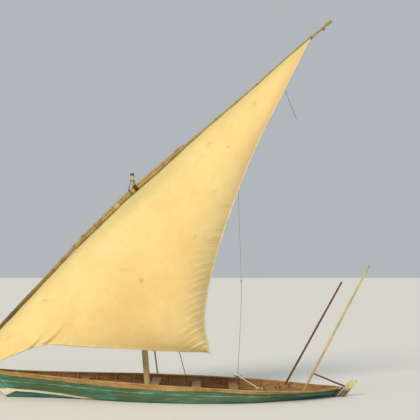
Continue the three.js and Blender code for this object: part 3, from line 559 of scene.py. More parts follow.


# Plain-woven cotton canvas: matt and a little fuzzy, mottled in tone, sewn of cloths with raised seams, with
# faint spots of dirt, and painted shade along the leech, below the yard and beside the mast
def wovenCotton(name, sun, shade, seamEvery=0.78):
    # the weave's threads are about 1.5 mm and drawn at 12 mm so that they show. The map runs along the yard
    # and down from it.
    material, tree, shader = newMaterial(name, 0.88, Sheen_Weight=0.15, Sheen_Roughness=0.5)
    lay = addNode(tree, "UVMap", uv_map="lay")
    place = objectCoordinates(tree, (1, 1, 1))
    broad = addNode(tree, "TexNoise", {"Vector": place, "Scale": 0.55, "Detail": 5.0, "Roughness": 0.55})
    cloud = addNode(tree, "TexNoise", {"Vector": place, "Scale": 5.0, "Detail": 6.0, "Roughness": 0.6})
    tone = addNode(tree, "MapRange", {0: broad, 1: 0.34, 2: 0.66})
    colour = addNode(tree, "Mix", {0: tone, 6: linear(shade), 7: linear(sun)}, data_type="RGBA")
    fine = addNode(tree, "MapRange", {0: cloud, 1: 0.3, 2: 0.7, 3: 0.955, 4: 1.03})
    colour = addNode(tree, "VectorMath", {0: colour, "Scale": fine}, operation="SCALE")
    # the warm tone along the leech and the olive below the yard are painted shade
    for tone, tint in (("dirt", "#8c7646"), ("tan", "#eac287"), ("olive", "#d8c681"), ("hem", "#fdf3bf")):
        share = addNode(tree, "Attribute", attribute_name=tone)
        colour = addNode(tree, "Mix", {0: (share, "Fac"), 6: colour, 7: linear(tint)}, data_type="RGBA")
    # seams: a ridge where the distance along is within about 0.02 cloth widths of a whole number of them
    axes = addNode(tree, "SeparateXYZ", {0: lay})
    cloth = addNode(tree, "Math", {0: (axes, "X"), 1: 1 / seamEvery}, operation="MULTIPLY")
    share = addNode(tree, "Math", {0: cloth}, operation="FRACT")
    off = addNode(tree, "Math", {0: share, 1: 0.5}, operation="SUBTRACT")
    near = addNode(tree, "Math", {0: off}, operation="ABSOLUTE")
    seam = addNode(tree, "MapRange", {0: near, 1: 0.478, 2: 0.486})
    stitched = addNode(tree, "MapRange", {0: seam, 3: 1.0, 4: 0.965})
    addNode(tree, "VectorMath", {0: colour, "Scale": stitched}, operation="SCALE",
            into=(shader, "Base Color"))
    threads = {"Vector": lay, "Scale": 26.0, "Distortion": 0.6}
    warp, weft = [addNode(tree, "TexWave", threads, bands_direction=way) for way in ("X", "Y")]
    weave = addNode(tree, "Math", {0: (warp, "Fac"), 1: (weft, "Fac")}, operation="ADD")
    height = addNode(tree, "Math", {0: seam, 1: 2.0, 2: weave}, operation="MULTIPLY_ADD")
    addNode(tree, "Bump", {"Strength": 0.25, "Distance": 0.0015, "Height": height}, into=(shader, "Normal"))
    return material


canvas = wovenCotton("wovenCottonCanvas", "#f6dc97", "#eac881")
print("finishes made")


# Hull planking: strakes side by side, each a closed board with eased edges, caulked seams between them
planking = {
    "shares": [0, 0.17, 0.32, 0.46, 0.60, 0.73, 0.86, 1.0], "spread": 1.3, "rows": 150, "seam": 0.0016,
    # outline of a board, from the lower edge up its face and down its back: share of its height, eases to go
    # further up, and share of the way from the eased edge out to the face, which is 0 on the back
    "ease": 0.006,
    "share": np.array([0, 0, 0, 0, 0.25, 0.5, 0.75, 1, 1, 1, 1, 0.66, 0.33, 0]),
    "eases": np.array([0, 0, 0.35, 1, 0, 0, 0, -1, -0.35, 0, 0, 0, 0, 0]),
    "face": np.array([0, 0.55, 0.9, 1, 1, 1, 1, 1, 0.9, 0.55, 0, 0, 0, 0]),
    # patches where the paint is chafed through. columns: x, z, half length, half height, strength
    "chafes": [
        (-3.05, 0.20, 0.14, 0.030, 0.85), (-3.10, 0.40, 0.16, 0.030, 0.70), (-2.60, 0.33, 0.22, 0.035, 0.55),
        (-2.50, 0.20, 0.45, 0.050, 0.45), (-1.12, 0.27, 0.13, 0.030, 0.60), (-0.35, 0.10, 0.28, 0.030, 0.45),
        (1.40, 0.15, 0.42, 0.035, 0.80), (1.92, 0.12, 0.16, 0.045, 0.55), (-1.90, 0.12, 0.25, 0.030, 0.40),
    ],
}


def spots(points, table):
    # sum of strength exp(-(distance along / half length)^2 - (distance up / half height)^2)
    total = np.zeros(points.shape[:-1])
    for x, z, wide, tall, strength in table:
        total += strength * np.exp(-((points[..., 0] - x) / wide) ** 2 - ((points[..., 2] - z) / tall) ** 2)
    return total


def boardAlongHull(name, side, low, high, inner, outer, materials, replaces=()):
    # low and high give the board's edges as heights at t, inner and outer how far its faces stand out from
    # the hull
    t = np.linspace(0, 1, planking["rows"])[:, None]
    ease, face = planking["ease"], planking["face"]
    bottom, top = low(t) + planking["seam"] / 2, high(t) - planking["seam"] / 2
    z = bottom + (top - bottom) * planking["share"] + planking["eases"] * ease
    depth = np.where(face > 0, outer - 2 * ease * (1 - face), inner)[None]
    grid = hullPoint(np.broadcast_to(t, z.shape), z, side, np.broadcast_to(depth, z.shape))
    onBack = ~((face > 0) & (np.roll(face, -1) > 0))
    makePiece(name, grid, "hull", materials, replaces, materialOf=onBack[None],
              attributes={"paintLine": aboveBand(grid), "chafe": spots(grid, planking["chafes"])}, sharp=50)


def strakeEdge(share):
    # height of a seam, at a share of the way from the keel to the upper seam that grows as share^1.3
    return lambda t: keelTop(t) + (upperSeam(t) - keelTop(t)) * share ** planking["spread"]


for word, side in bothSides:
    edges = [strakeEdge(share) for share in planking["shares"]]
    for k, (low, high) in enumerate(zip(edges, edges[1:])):
        boardAlongHull(f"strake{k + 1}_{word}", side, low, high, -hull["plank"], 0.0, [paint, insideWood],
                       [f"bottom_planking_{word}"] if k == 0 else [])
    boardAlongHull(f"sheerStrake_{word}", side, upperSeam, lambda t: railTop(t) - hull["cap"] - 0.0005,
                   -hull["plank"], 0.0, [paint, insideWood], [f"top_strake_{word}"])
    boardAlongHull(f"railPlank_{word}", side, railFoot, lambda t: railTop(t) - hull["cap"], hull["railInner"],
                   hull["railOuter"], [railWood, railWood], [f"rail_{word}"])
print("planking laid")

# Rail cap, whose outline is in millimetres out from the planking's face and up from the top, the half-round
# bead along the upper seam and the thin batten up the stem's rabbet, both pale with painted highlight
trim = {
    "capOut": np.array([-62, -62, -59, 0, 27, 31, 32, 31, 27, 0, -59, -62]) / 1000,
    "capUp": np.array([-22, -6, -1, 0, -1, -5, -14, -23, -28, -28, -28, -26]) / 1000,
    "capRows": 170, "capThinnest": 0.0015,
    "beadOut": 0.008, "beadHalf": 0.011, "beadOff": 0.001, "beadT": np.linspace(0.004, 0.996, 170),
    "battenOut": 0.005, "battenHalf": 0.013, "battenOff": 0.002, "battenT": 0.010,
    "battenZ": np.linspace(0.26, 0.58, 40),
}


def railCap(name, side):
    # the outline at each t, measured from the planking's face there, with rounded corners
    t = np.linspace(0, 1, trim["capRows"])[:, None]
    top = railTop(t)
    half = np.maximum(halfBreadth(t, top) + trim["capOut"], trim["capThinnest"])
    x = np.broadcast_to(hullX(t, top), half.shape)
    grid = np.stack([x, side * half, top + trim["capUp"]], -1)
    makePiece(name, grid, "hull", [railWood], sharp=50)


def seamBead(name, side):
    # half an ellipse carried along the upper seam
    t = trim["beadT"]
    path = hullPoint(t, upperSeam(t), side, trim["beadOff"])
    angle = np.linspace(-0.5 * np.pi, 0.5 * np.pi, 7)
    profile = np.stack([-side * trim["beadOut"] * np.cos(angle), trim["beadHalf"] * np.sin(angle)], -1)
    makePiece(name, sweep(path, profile, (0, 0, 1)), "hull", [seamHighlightPaint])


def rabbetStrip(name, side):
    # an ellipse carried up the rabbet
    z = trim["battenZ"]
    path = hullPoint(np.full_like(z, trim["battenT"]), z, side, trim["battenOff"])
    profile = circle(10, trim["battenOut"], trim["battenHalf"])
    makePiece(name, sweep(path, profile, (1, 0, 0.3)), "hull", [rabbetHighlightPaint])


for word, side in bothSides:
    railCap(f"railCap_{word}", side)
    seamBead(f"seamBead_{word}", side)
    rabbetStrip(f"rabbetStrip_{word}", side)
print("rails on")


def easedCopy(node, material, width, lined=False):
    # the frame's own solid with bevelled corners, and where it is lined the height over the white band
    mesh = frame["nodes"][node].data.copy()
    work = bmesh.new()
    work.from_mesh(mesh)
    bmesh.ops.remove_doubles(work, verts=work.verts, dist=0.00005)
    bmesh.ops.dissolve_limit(work, angle_limit=math.radians(0.6), verts=work.verts, edges=work.edges)
    work.to_mesh(mesh)
    work.free()
    mesh.materials.clear()
    mesh.materials.append(material)
    mesh.shade_flat()
    for name in [a.name for a in mesh.attributes if a.name == "custom_normal"]:
        mesh.attributes.remove(mesh.attributes[name])
    if lined:
        points = np.zeros(len(mesh.vertices) * 3, np.float32)
        mesh.vertices.foreach_get("co", points)
        addAttribute(mesh, "paintLine", aboveBand(points.reshape(-1, 3)))
    piece = addPiece(f"{node}_timber", mesh, frame["nodes"][node]["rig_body"], [node])
    bevel = piece.modifiers.new("easedCorners", "BEVEL")
    bevel.width = width
    bevel.segments = 2
    bevel.limit_method = "ANGLE"
    bevel.angle_limit = math.radians(40)


# Solid timbers of the frame, kept in place with their corners eased. columns: node, finish, width of the
# easing, slot
timbers = [
    ("keel", keelPaint, 0.006, "blue_paint"),
    ("stern_post", postWood, 0.006, "grey_wood"),
    ("thwart_fore", bareWood, 0.005, "bare_wood"),
    ("thwart_mid", bareWood, 0.005, "bare_wood"),
    ("thwart_aft", bareWood, 0.005, "bare_wood"),
    ("thwart_helm", bareWood, 0.005, "bare_wood"),
    ("mast_beam", bareWood, 0.006, "bare_wood"),
    ("mast_step", insideWood, 0.006, "inner_wood"),
    ("fore_deck", insideWood, 0.003, "inner_wood"),
    ("stern_deck", insideWood, 0.003, "inner_wood"),
    ("bow_bitt", greyWood, 0.006, "grey_wood"),
    ("pole_chock_port", bareWood, 0.005, "grey_wood"),
    ("pole_chock_starboard", bareWood, 0.005, "grey_wood"),
    ("rudder_stock", rudderWood, 0.005, "rudder_wood"),
    ("rudder_blade", greyWood, 0.005, "grey_wood"),
]
for node, material, width, slot in timbers:
    easedCopy(node, material, width)
easedCopy("stem_post", stemPaint, 0.006, lined=True)

# Nodes that show as they are, with a finish of their own
refinished = {
    "ribs_and_keelson": insideWood, "riser_port": insideWood, "riser_starboard": insideWood,
    "floor_boards": insideWood,
    "gudgeon_low": iron, "gudgeon_high": iron, "pintle_low": iron, "pintle_high": iron,
}
for node, material in refinished.items():
    data = frame["nodes"][node].data
    data.materials.clear()
    data.materials.append(material)
print("timbers in")


# Poles of the yard: round and tapered along a smooth line, with knots and a slow waver in the radius.
# radii are evenly spaced from the foot, or pairs of a share of the length and the radius there. reach gives
# the two x between which cords go round the pole.
poles = {
    "yard_lower_pole": {
        "points": [(-4.720, -0.060, 0.445), (-4.200, -0.070, 1.033), (-3.710, -0.082, 1.572),
                   (-2.450, -0.096, 2.927), (-1.910, -0.074, 3.544), (-1.360, -0.102, 4.090),
                   (-0.856, -0.118, 4.576), (-0.180, -0.140, 5.163), (0.400, -0.156, 5.670)],
        "radii": [0.028, 0.036, 0.042, 0.044, 0.043, 0.041, 0.039, 0.037, 0.035],
        "reach": (-4.7, 0.40),
    },
    "yard_upper_pole": {
        "points": [(x, -0.178 - 0.03 * (x + 0.8), z) for x, z in (
            (-2.030, 3.348), (-1.360, 4.008), (-0.856, 4.500), (-0.180, 5.083), (0.410, 5.614),
            (1.000, 6.117), (1.910, 6.889), (2.830, 7.718), (3.765, 8.506))],
        "radii": [(0, 0.030), (0.125, 0.037), (0.375, 0.037), (0.5, 0.036), (0.625, 0.034), (0.75, 0.031),
                  (0.875, 0.028), (0.974, 0.0255), (0.985, 0.035), (0.993, 0.038), (1, 0.033)],
        "reach": (-2.0, 3.75),
    },
}


# Metres between knots and along each, how narrow each is round the pole, two slow waves of the radius, each
# its share of the radius and its radians a metre, and the share of the radius at which cords lie
poleShape = {"knotEvery": 0.28, "knotLength": 0.03, "knotWidth": 2.2, "mean": 0.985, "wave": (0.02, 5.1),
             "ripple": (0.015, 11.7), "cordsAt": 1.02, "yardRows": 420, "straightRows": 260}


def radiusAlong(radii, share):
    if not isinstance(radii[0], tuple):
        radii = list(zip(np.linspace(0, 1, len(radii)), radii))
    shares, values = np.array(radii).T
    return np.interp(share, shares, values)


def poleGrid(path, radii, seed, sides=24, knots=0.035):
    # radius = taper + sum of bell-shaped knots, each on one side, + two slow waves round and along
    length = lengthOf(path)
    along = np.linspace(0, length, len(path))[:, None]
    angle = (np.arange(sides) * 2 * np.pi / sides)[None]
    radius = radiusAlong(radii, np.linspace(0, 1, len(path)))[:, None]
    random = np.random.default_rng(seed)
    count = max(int(length / poleShape["knotEvery"]), 3)
    places = random.uniform(0.2, length - 0.1, count)
    facings = random.uniform(0, 2 * np.pi, count)
    sizes = random.uniform(0.5, 1.0, count)
    swell = np.zeros((len(path), sides))
    for place, facing, size in zip(places, facings, sizes):
        bump = np.exp(poleShape["knotWidth"] * (np.cos(angle - facing) - 1))
        swell += knots * 3 * size * np.exp(-((along - place) / poleShape["knotLength"]) ** 2) * bump
    wave, ripple = poleShape["wave"], poleShape["ripple"]
    swell += wave[0] * np.sin(along * wave[1] + angle + seed)
    swell += ripple[0] * np.sin(along * ripple[1] + 2 * angle)
    return endCap(sweep(path, (radius * (poleShape["mean"] + swell))[..., None] * circle(sides)))


for seed, (name, pole) in enumerate(poles.items(), 3):
    grid = poleGrid(smoothPath(pole["points"], poleShape["yardRows"]), pole["radii"], seed)
    makePiece(f"{name}_wood", grid, "rig", [yardWood], [name])

# Straight poles. columns: node, foot, head, radii, finish, slot, body, corners round it, size of its knots
mastFoot, mastHead = np.array([-0.360, 0, -0.330]), np.array([-0.783, 0, 5.030])
straightPoles = [
    ("setting_pole_port", (3.024, -0.481, 0.140), (4.510, -0.600, 2.943), [0.024, 0.024, 0.021],
     poleWood, "pole_wood", "hull", 20, 0.03),
    ("setting_pole_starboard", (2.703, 0.600, 0.140), (4.080, 0.640, 2.564), [0.024, 0.024, 0.021],
     darkWood, "dark_pole_wood", "hull", 20, 0.05),
    ("tiller", (4.028, 0, 0.232), (3.326, 0, 0.515), [0.0214, 0.015],
     darkWood, "dark_pole_wood", "rudder", 20, 0.01),
    ("mast", mastFoot, mastHead, [0.070, 0.070, 0.066, 0.060, 0.053, 0.046, 0.040],
     mastWood, "bare_wood", "hull", 32, 0.015),
]
for seed, (name, low, high, radii, material, slot, body, corners, knots) in enumerate(straightPoles, 11):
    grid = poleGrid(np.linspace(low, high, poleShape["straightRows"]), radii, seed, corners, knots)
    makePiece(f"{name}_wood", grid, body, [material], [name])
print("poles up")


# Sail: a grid from the foot's edge (a = 0) to the leech (a = 1) and from the yard (b = 0) to the clew (b = 1)
sail = {
    "leech": [(3.290, -0.343, 8.102), (2.684, -0.500, 6.890), (2.064, -0.660, 5.664),
              (1.526, -0.800, 4.339), (1.043, -0.900, 2.788), (0.881, -0.880, 1.797), (0.989, -0.800, 1.063)],
    "foot": [(-4.650, -0.069, 0.477), (-3.654, -0.300, 0.837), (-2.681, -0.550, 1.190),
             (-1.728, -0.780, 1.182), (0.099, -0.950, 1.102), (0.989, -0.800, 1.063)],
    # head of the sail. columns: x, the pole that carries it there, how far below its middle and to port of it
    "head": [
        (-4.650, "lower", 0.047, 0.008), (-4.200, "lower", 0.056, 0.005), (-3.710, "lower", 0.064, 0.005),
        (-3.080, "lower", 0.065, 0.008), (-2.450, "lower", 0.066, 0.018), (-1.910, "upper", 0.062, 0.008),
        (-1.360, "upper", 0.062, 0.008), (-0.856, "upper", 0.065, 0.008), (-0.180, "upper", 0.061, 0.018),
        (0.300, "upper", 0.054, 0.034), (0.600, "upper", 0.036, 0.040), (1.000, "upper", 0.018, 0.045),
        (1.910, "upper", 0.002, 0.045), (2.830, "upper", 0.000, 0.042), (3.290, "upper", 0.000, 0.042),
    ],
    "belly": 0.620, "thickness": 0.003, "roband": 0.46, "scallop": 0.008, "unevenness": 0.018,
    "alongYard": 7.9, "downFromYard": 8.0, "slack": 1.12, "columns": 200,
    # rows of the grid, closer where the leech is creased. columns: from b, to b, points
    "rows": [(0, 0.2, 22), (0.2, 0.5, 60), (0.5, 0.62, 16), (0.62, 0.997, 118)],
    # pale hem: its width and soft edge, its strength high on the leech, low on it and on the foot, and the
    # height below which it brightens
    "hem": 0.045, "hemSoft": 0.012, "hemHigh": 0.1, "hemLow": 0.95, "hemFoot": 0.2, "hemTop": 4.15,
    "hemFade": 0.5,
    # painted shade: warm and darker along the leech down to where b is leechShadeUntil, and olive below the
    # yard and beside the mast
    "leechShadeWidth": 0.30, "leechShadeUntil": 0.62, "leechShadeFade": 0.2, "yardShadeDeep": 0.45, "yardShadeStrength": 0.9,
    "mastX": -0.55, "mastWidth": 1.15, "mastDeep": 0.95,
    # creases. columns: x and z where it starts, x and z where it fades out, half width, height
    "folds": [
        (-2.70, 1.20, -2.15, 1.74, 0.045, 0.050),
        (-3.22, 0.98, -2.62, 1.52, 0.036, 0.052),
        (-2.30, 1.17, -2.02, 1.40, 0.030, 0.016),
        (-1.55, 1.16, -1.36, 1.30, 0.026, 0.012),
        (-1.05, 1.14, -0.85, 1.24, 0.026, 0.010),
        (-3.60, 1.25, -3.15, 1.80, 0.030, 0.026),
        (-3.95, 0.90, -3.55, 1.42, 0.028, 0.026),
        (-3.42, 1.28, -3.02, 1.95, 0.024, 0.018),
        (-4.25, 0.62, -3.90, 0.98, 0.026, 0.012),
        (-3.45, 0.94, -3.25, 1.16, 0.026, 0.012),
    ],
    # and a row of them that fans out from the leech, over a span of its length, steeper as it goes down
    "leechFolds": {"count": 20, "first": 0.60, "span": 0.385, "stray": 0.2, "steep": 4, "steeper": 28,
                   "straySteep": 4, "reach": (0.38, 0.85), "halfWidth": (0.018, 0.028),
                   "height": (0.010, 0.020)},
    # shape of each: bend as a share of its length, shares in which it rises and fades, and a trough beside
    # it, whose depth is a share of the height and whose place and width are shares of the half width
    "crease": {"bend": 0.06, "rise": 0.12, "fade": 0.75, "trough": 0.45, "troughAt": 1.7, "troughWidth": 1.3},
    # marks of dirt. columns: x, z, half length, half height, strength
    "marks": [
        (-0.45, 2.60, 0.025, 0.035, 0.55), (-2.65, 2.17, 0.080, 0.020, 0.30),
        (0.97, 5.62, 0.035, 0.022, 0.50), (1.40, 5.53, 0.028, 0.028, 0.50),
        (1.20, 5.66, 0.200, 0.012, 0.22), (2.00, 6.56, 0.030, 0.070, 0.30),
        (1.33, 4.22, 0.130, 0.014, 0.40), (1.03, 3.46, 0.130, 0.014, 0.35),
        (0.68, 3.52, 0.050, 0.040, 0.22), (-0.82, 2.83, 0.120, 0.014, 0.22),
        (1.10, 4.52, 0.050, 0.020, 0.25),
    ],
}


def along(path, share):
    # points at shares of a path's length
    return interpolated(np.asarray(share) * (len(path) - 1), np.arange(len(path)), path)


def atX(line, x):
    return interpolated(x, line[:, 0], line)


steps = 1200
lowerLine = smoothPath(poles["yard_lower_pole"]["points"], steps)
upperLine = smoothPath(poles["yard_upper_pole"]["points"], steps)
leechLine = smoothPath(sail["leech"], steps)
footLine = smoothPath(sail["foot"], steps)
carriers = {"lower": lowerLine, "upper": upperLine}
headPoints = [atX(carriers[pole], x) - [0, aside, below] for x, pole, below, aside in sail["head"]]
headLine = smoothPath(headPoints, steps)


def sailSurface(a, b):
    # foot(b) + (leech(b) - foot(b)) a, moved at the head to the yard's curve by (1 - b)^1.5, with a belly of
    # 4a(1-a) (4b(1-b))^0.8 and small scallops between the ties
    point = along(footLine, b)
    point = point + (along(leechLine, b) - point) * a[..., None]
    chord = footLine[0] + (leechLine[0] - footLine[0]) * a[..., None]
    x = chord[..., 0]
    point[..., 1:] += ((1 - b) ** 1.5)[..., None] * (atX(headLine, x) - chord)[..., 1:]
    point[..., 2] -= sail["scallop"] * np.sin(np.pi * x / sail["roband"]) ** 2 * np.exp(-b / 0.02)
    point[..., 1] -= sail["belly"] * (4 * a * (1 - a)) * (4 * b * (1 - b)) ** 0.8
    return point


def creases(x, z):
    # each is height exp(-(distance / half width)^2), fading from start to end, with a trough beside it
    table = list(sail["folds"])
    fan = sail["leechFolds"]
    last = fan["count"] - 1
    random = np.random.default_rng(5)
    for k in range(fan["count"]):
        place = (k + random.uniform(-fan["stray"], fan["stray"])) / last
        startX, _, startZ = along(leechLine, fan["first"] + fan["span"] * place)
        stray = random.uniform(-fan["straySteep"], fan["straySteep"])
        steep = math.radians(fan["steep"] + fan["steeper"] * k / last + stray)
        reach = random.uniform(*fan["reach"])
        end = (startX - reach * math.cos(steep), startZ - reach * math.sin(steep))
        table.append((startX + 0.03, startZ + 0.01, *end, random.uniform(*fan["halfWidth"]),
                      random.uniform(*fan["height"])))
    shape = sail["crease"]
    total = np.zeros_like(x)
    for x0, z0, x1, z1, width, height in table:
        run = math.hypot(x1 - x0, z1 - z0)
        dx, dz = (x1 - x0) / run, (z1 - z0) / run
        s = ((x - x0) * dx + (z - z0) * dz) / run
        bend = shape["bend"] * run * np.sin(np.pi * np.clip(s, 0, 1))
        d = (x - x0) * dz - (z - z0) * dx - bend
        fade = np.clip(s / shape["rise"], 0, 1) * np.clip((1 - s) / shape["fade"], 0, 1) ** 0.8
        total += height * fade * np.exp(-(d / width) ** 2)
        beside = (d - shape["troughAt"] * width) / (shape["troughWidth"] * width)
        total -= shape["trough"] * height * fade * np.exp(-beside ** 2)
    return total


def sailTones(a, b, point, width):
    # shares of the cloth's tones and of painted shade, by place and by distance in metres from the leech, the
    # foot and the yard
    x, z = point[..., 0], point[..., 2]
    fromLeech, fromFoot, fromYard = (1 - a) * width, a * width, b * sail["downFromYard"]
    lower = np.clip((sail["hemTop"] - z) / sail["hemFade"], 0, 1)
    bright = sail["hemHigh"] + (sail["hemLow"] - sail["hemHigh"]) * lower
    leechHem = bright * np.clip((sail["hem"] - fromLeech) / sail["hemSoft"] + 0.5, 0, 1)
    footHem = sail["hemFoot"] * np.clip((sail["hem"] - fromFoot) / sail["hemSoft"] + 0.5, 0, 1)
    # painted shade: warmer and darker along the upper leech
    tan = np.exp(-(fromLeech / sail["leechShadeWidth"]) ** 2)
    tan = tan * np.clip((sail["leechShadeUntil"] - b) / sail["leechShadeFade"], 0, 1)
    # painted shade: olive below the yard and beside the mast
    shadeBesideMast = np.exp(-((x - sail["mastX"]) / sail["mastWidth"]) ** 2 - (fromYard / sail["mastDeep"]) ** 4)
    olive = np.maximum(sail["yardShadeStrength"] * np.exp(-(fromYard / sail["yardShadeDeep"]) ** 2), shadeBesideMast)
    hem = np.maximum(leechHem, footHem)
    return {"dirt": spots(point, sail["marks"]), "hem": hem, "tan": tan, "olive": olive}


def hangSail():
    # two faces of the cloth, half its thickness to each side of the surface and its creases
    alongFoot = 0.5 - 0.5 * np.cos(np.pi * np.linspace(0, 1, sail["columns"]))
    down = np.concatenate([np.linspace(*span)[:-1] for span in sail["rows"]] + [[sail["rows"][-1][1]]])
    a, b = np.meshgrid(alongFoot, down)
    point = sailSurface(a, b)
    x, z = point[..., 0], point[..., 2]
    # broad unevenness of slack cloth: sin(1.9x + 0.8z + 1) sin(1.3z - 0.7x), dying out towards all edges
    loose = np.sin(1.9 * x + 0.8 * z + 1) * np.sin(1.3 * z - 0.7 * x)
    loose *= 4 * a * (1 - a) * np.sqrt(np.clip(4 * b * (1 - b), 0, 1))
    point[..., 1] -= sail["unevenness"] * loose + creases(x, z)
    width = np.linalg.norm(along(leechLine, down) - along(footLine, down), axis=1)[:, None]
    da, db = np.gradient(point, axis=1), np.gradient(point, axis=0)
    normal = np.cross(da, db)
    normal /= np.linalg.norm(normal, axis=-1)[..., None] + 1e-12
    half = sail["thickness"] / 2
    grid = np.concatenate([point + normal * half, (point - normal * half)[:, ::-1]], 1)
    tones = {name: np.concatenate([share, share[:, ::-1]], 1)
             for name, share in sailTones(a, b, point, width).items()}
    lay = np.concatenate([alongFoot, alongFoot[::-1], alongFoot[:1]]) * sail["alongYard"]
    piece = makePiece("sailCloth", grid, "rig", [canvas], ["sail"],
                      uv=(lay, down * sail["downFromYard"]), attributes=tones)
    return point


sailPoints = hangSail()

# Bolt rope sewn along the sail's free edges and its head
layRope("boltRope_leech", sailPoints[:, -1] + [0.004, 0, 0], 0.008, "rig", cottonRope)
layRope("boltRope_foot", sailPoints[:, 0] - [0, 0, 0.006], 0.008, "rig", paleCoir)
layRope("boltRope_head", sailPoints[0] + [0, -0.004, 0.004], 0.008, "rig", coir)
print("sail hung")


def belt(circles, count):
    # the outline of a cord pulled round several circles, each a middle and a radius: in each direction, the
    # point of the circle that reaches furthest
    centres = np.array([middle for middle, _ in circles], float)
    radii = np.array([radius for _, radius in circles], float)
    way = circle(count)
    best = (way @ centres.T + radii).argmax(1)
    return centres[best] + radii[best][:, None] * way


def yardFrame(x):
    # middle of the lower pole at x (of the upper one beyond its end), with the ways along it, level across it
    # (to starboard) and square to both
    line = lowerLine if x < poles["yard_lower_pole"]["reach"][1] else upperLine
    ahead = unit(atX(line, x + 0.03) - atX(line, x - 0.03))
    across = unit(np.array([0, 1, 0]) - ahead[1] * ahead)
    return atX(line, x), ahead, across, np.cross(ahead, across)


def throughPlane(line, middle, ahead):
    # where a line passes through the plane square to a direction, and the share of its length there
    height = (line - middle) @ ahead
    return interpolated(0, height, line), np.interp(0, height, np.linspace(0, 1, len(line)))


def poleCircles(x, grow, origin=None):
    # the circles of the poles that the yard's plane at x cuts, as (across, up) from the origin and radius
    middle, ahead, across, up = yardFrame(x)
    middle = middle if origin is None else origin
    found = []
    for pole, line in zip(poles.values(), (lowerLine, upperLine)):
        if pole["reach"][0] < x < pole["reach"][1]:
            place, share = throughPlane(line, middle, ahead)
            offset = place - middle
            radius = radiusAlong(pole["radii"], share) * poleShape["cordsAt"] + grow
            found.append(((offset @ across, offset @ up), radius))
    return found


# Lashings: turns of rope side by side round the poles. Each is a tight belt round their circles that creeps
# along a little. columns: name, x along the yard, width, rope radius, finish, stands for
lashings = [
    ("lashing_low", -1.880, 0.090, 0.0045, coir, ["lashing_low"]),
    ("lashing_mid", -1.130, 0.130, 0.0045, paleCoir, ["lashing_mid"]),
    ("lashing_high", 0.250, 0.110, 0.0045, coir, ["lashing_high"]),
    ("yard_sling", -0.700, 0.100, 0.0060, slingLine, ["yard_sling"]),
    ("tie", -0.782, 0.045, 0.0050, paleCoir, []),
    ("peak_band", 3.300, 0.075, 0.0060, goldLine, []),
    ("heel_band", -4.480, 0.060, 0.0050, coir, []),
]
for name, x, width, thick, finish, stands in lashings:
    middle, ahead, across, up = yardFrame(x)
    ring = belt(poleCircles(x, thick), 72)
    turns = max(int(width / (2 * thick)), 2)
    walk = np.concatenate([np.tile(ring, (turns, 1)), ring[:1]])
    creep = np.linspace(-width / 2 + thick, width / 2 - thick, len(walk))
    path = middle + walk @ np.stack([across, up]) + creep[:, None] * ahead
    layRope(f"{name}_turns", path, thick, "rig", finish, ahead, stands)
print("lashings on")


def rings(name, loops, thick, body, material, sides=7, stands=()):
    # several closed loops as one mesh: each is a small circle carried round its own line
    loops = np.asarray(loops, float)
    ahead = unit(np.roll(loops, -1, axis=1) - np.roll(loops, 1, axis=1))
    out = loops - loops.mean(1)[:, None]
    out = unit(out - (out * ahead).sum(-1)[..., None] * ahead)
    side = np.cross(ahead, out)
    around = circle(sides)
    points = loops[:, :, None] + thick * (around[:, :1] * out[:, :, None] + around[:, 1:] * side[:, :, None])
    many, rows = loops.shape[:2]
    faces = (np.arange(many)[:, None, None] * rows * sides + gridQuads(rows, sides, loop=True)).reshape(-1, 4)
    flat = points.reshape(-1, 3)
    p = [flat[faces[:, i]] for i in range(4)]
    outward = (np.cross(p[1] - p[0], p[3] - p[0]) * (p[0] - np.repeat(loops.reshape(-1, 3), sides, 0))).sum()
    if outward < 0:
        faces = faces[:, ::-1]
    addPiece(name, newMesh(name, points, faces.tolist(), [material]), body, stands)


# Robands: short lines that tie the sail's head to the yard, two turns each
robands = {"places": np.arange(-4.37, 3.15, sail["roband"]), "radius": 0.004, "gap": 0.0045,
           "creep": (-0.005, 0.005), "inSail": 0.012, "inSailRadius": 0.009}


def robandLoops():
    # a belt round the poles' circles and a small one inside the sail's head
    loops = []
    for x in robands["places"]:
        middle, ahead, across, up = yardFrame(x)
        edge = throughPlane(headLine, middle, ahead)[0] - middle
        inset = ((edge @ across, edge @ up - robands["inSail"]), robands["inSailRadius"])
        ring = evenRing(belt(poleCircles(x, robands["gap"]) + [inset], 40), 40) @ np.stack([across, up])
        loops += [ring + middle + shift * ahead for shift in robands["creep"]]
    return loops


rings("robands", robandLoops(), robands["radius"], "rig", coir)


def mastMiddle(z):
    return mastFoot + (mastHead - mastFoot) * (z - mastFoot[2]) / (mastHead[2] - mastFoot[2])


# Parrel: turns of rope aslant round the mast and both poles, in the plane square to the yard. The mast, cut
# aslant there, is two circles.
parrel = {"z": 4.55, "thick": 0.0045, "mastHalf": 0.053, "mastRadius": 0.0495,
          "creep": (-0.0098, 0.0, 0.0098)}


def parrelLoops():
    middle = mastMiddle(parrel["z"])
    ahead, across, up = yardFrame(middle[0])[1:]
    reach = parrel["mastRadius"] + parrel["thick"]
    circles = [((0, parrel["mastHalf"]), reach), ((0, -parrel["mastHalf"]), reach)]
    circles += poleCircles(middle[0], parrel["thick"], middle)
    ring = evenRing(belt(circles, 96), 96) @ np.stack([across, up]) + middle
    return [ring + shift * ahead for shift in parrel["creep"]]


rings("parrel_turns", parrelLoops(), parrel["thick"], "rig", darkLine, 9, ["parrel"])

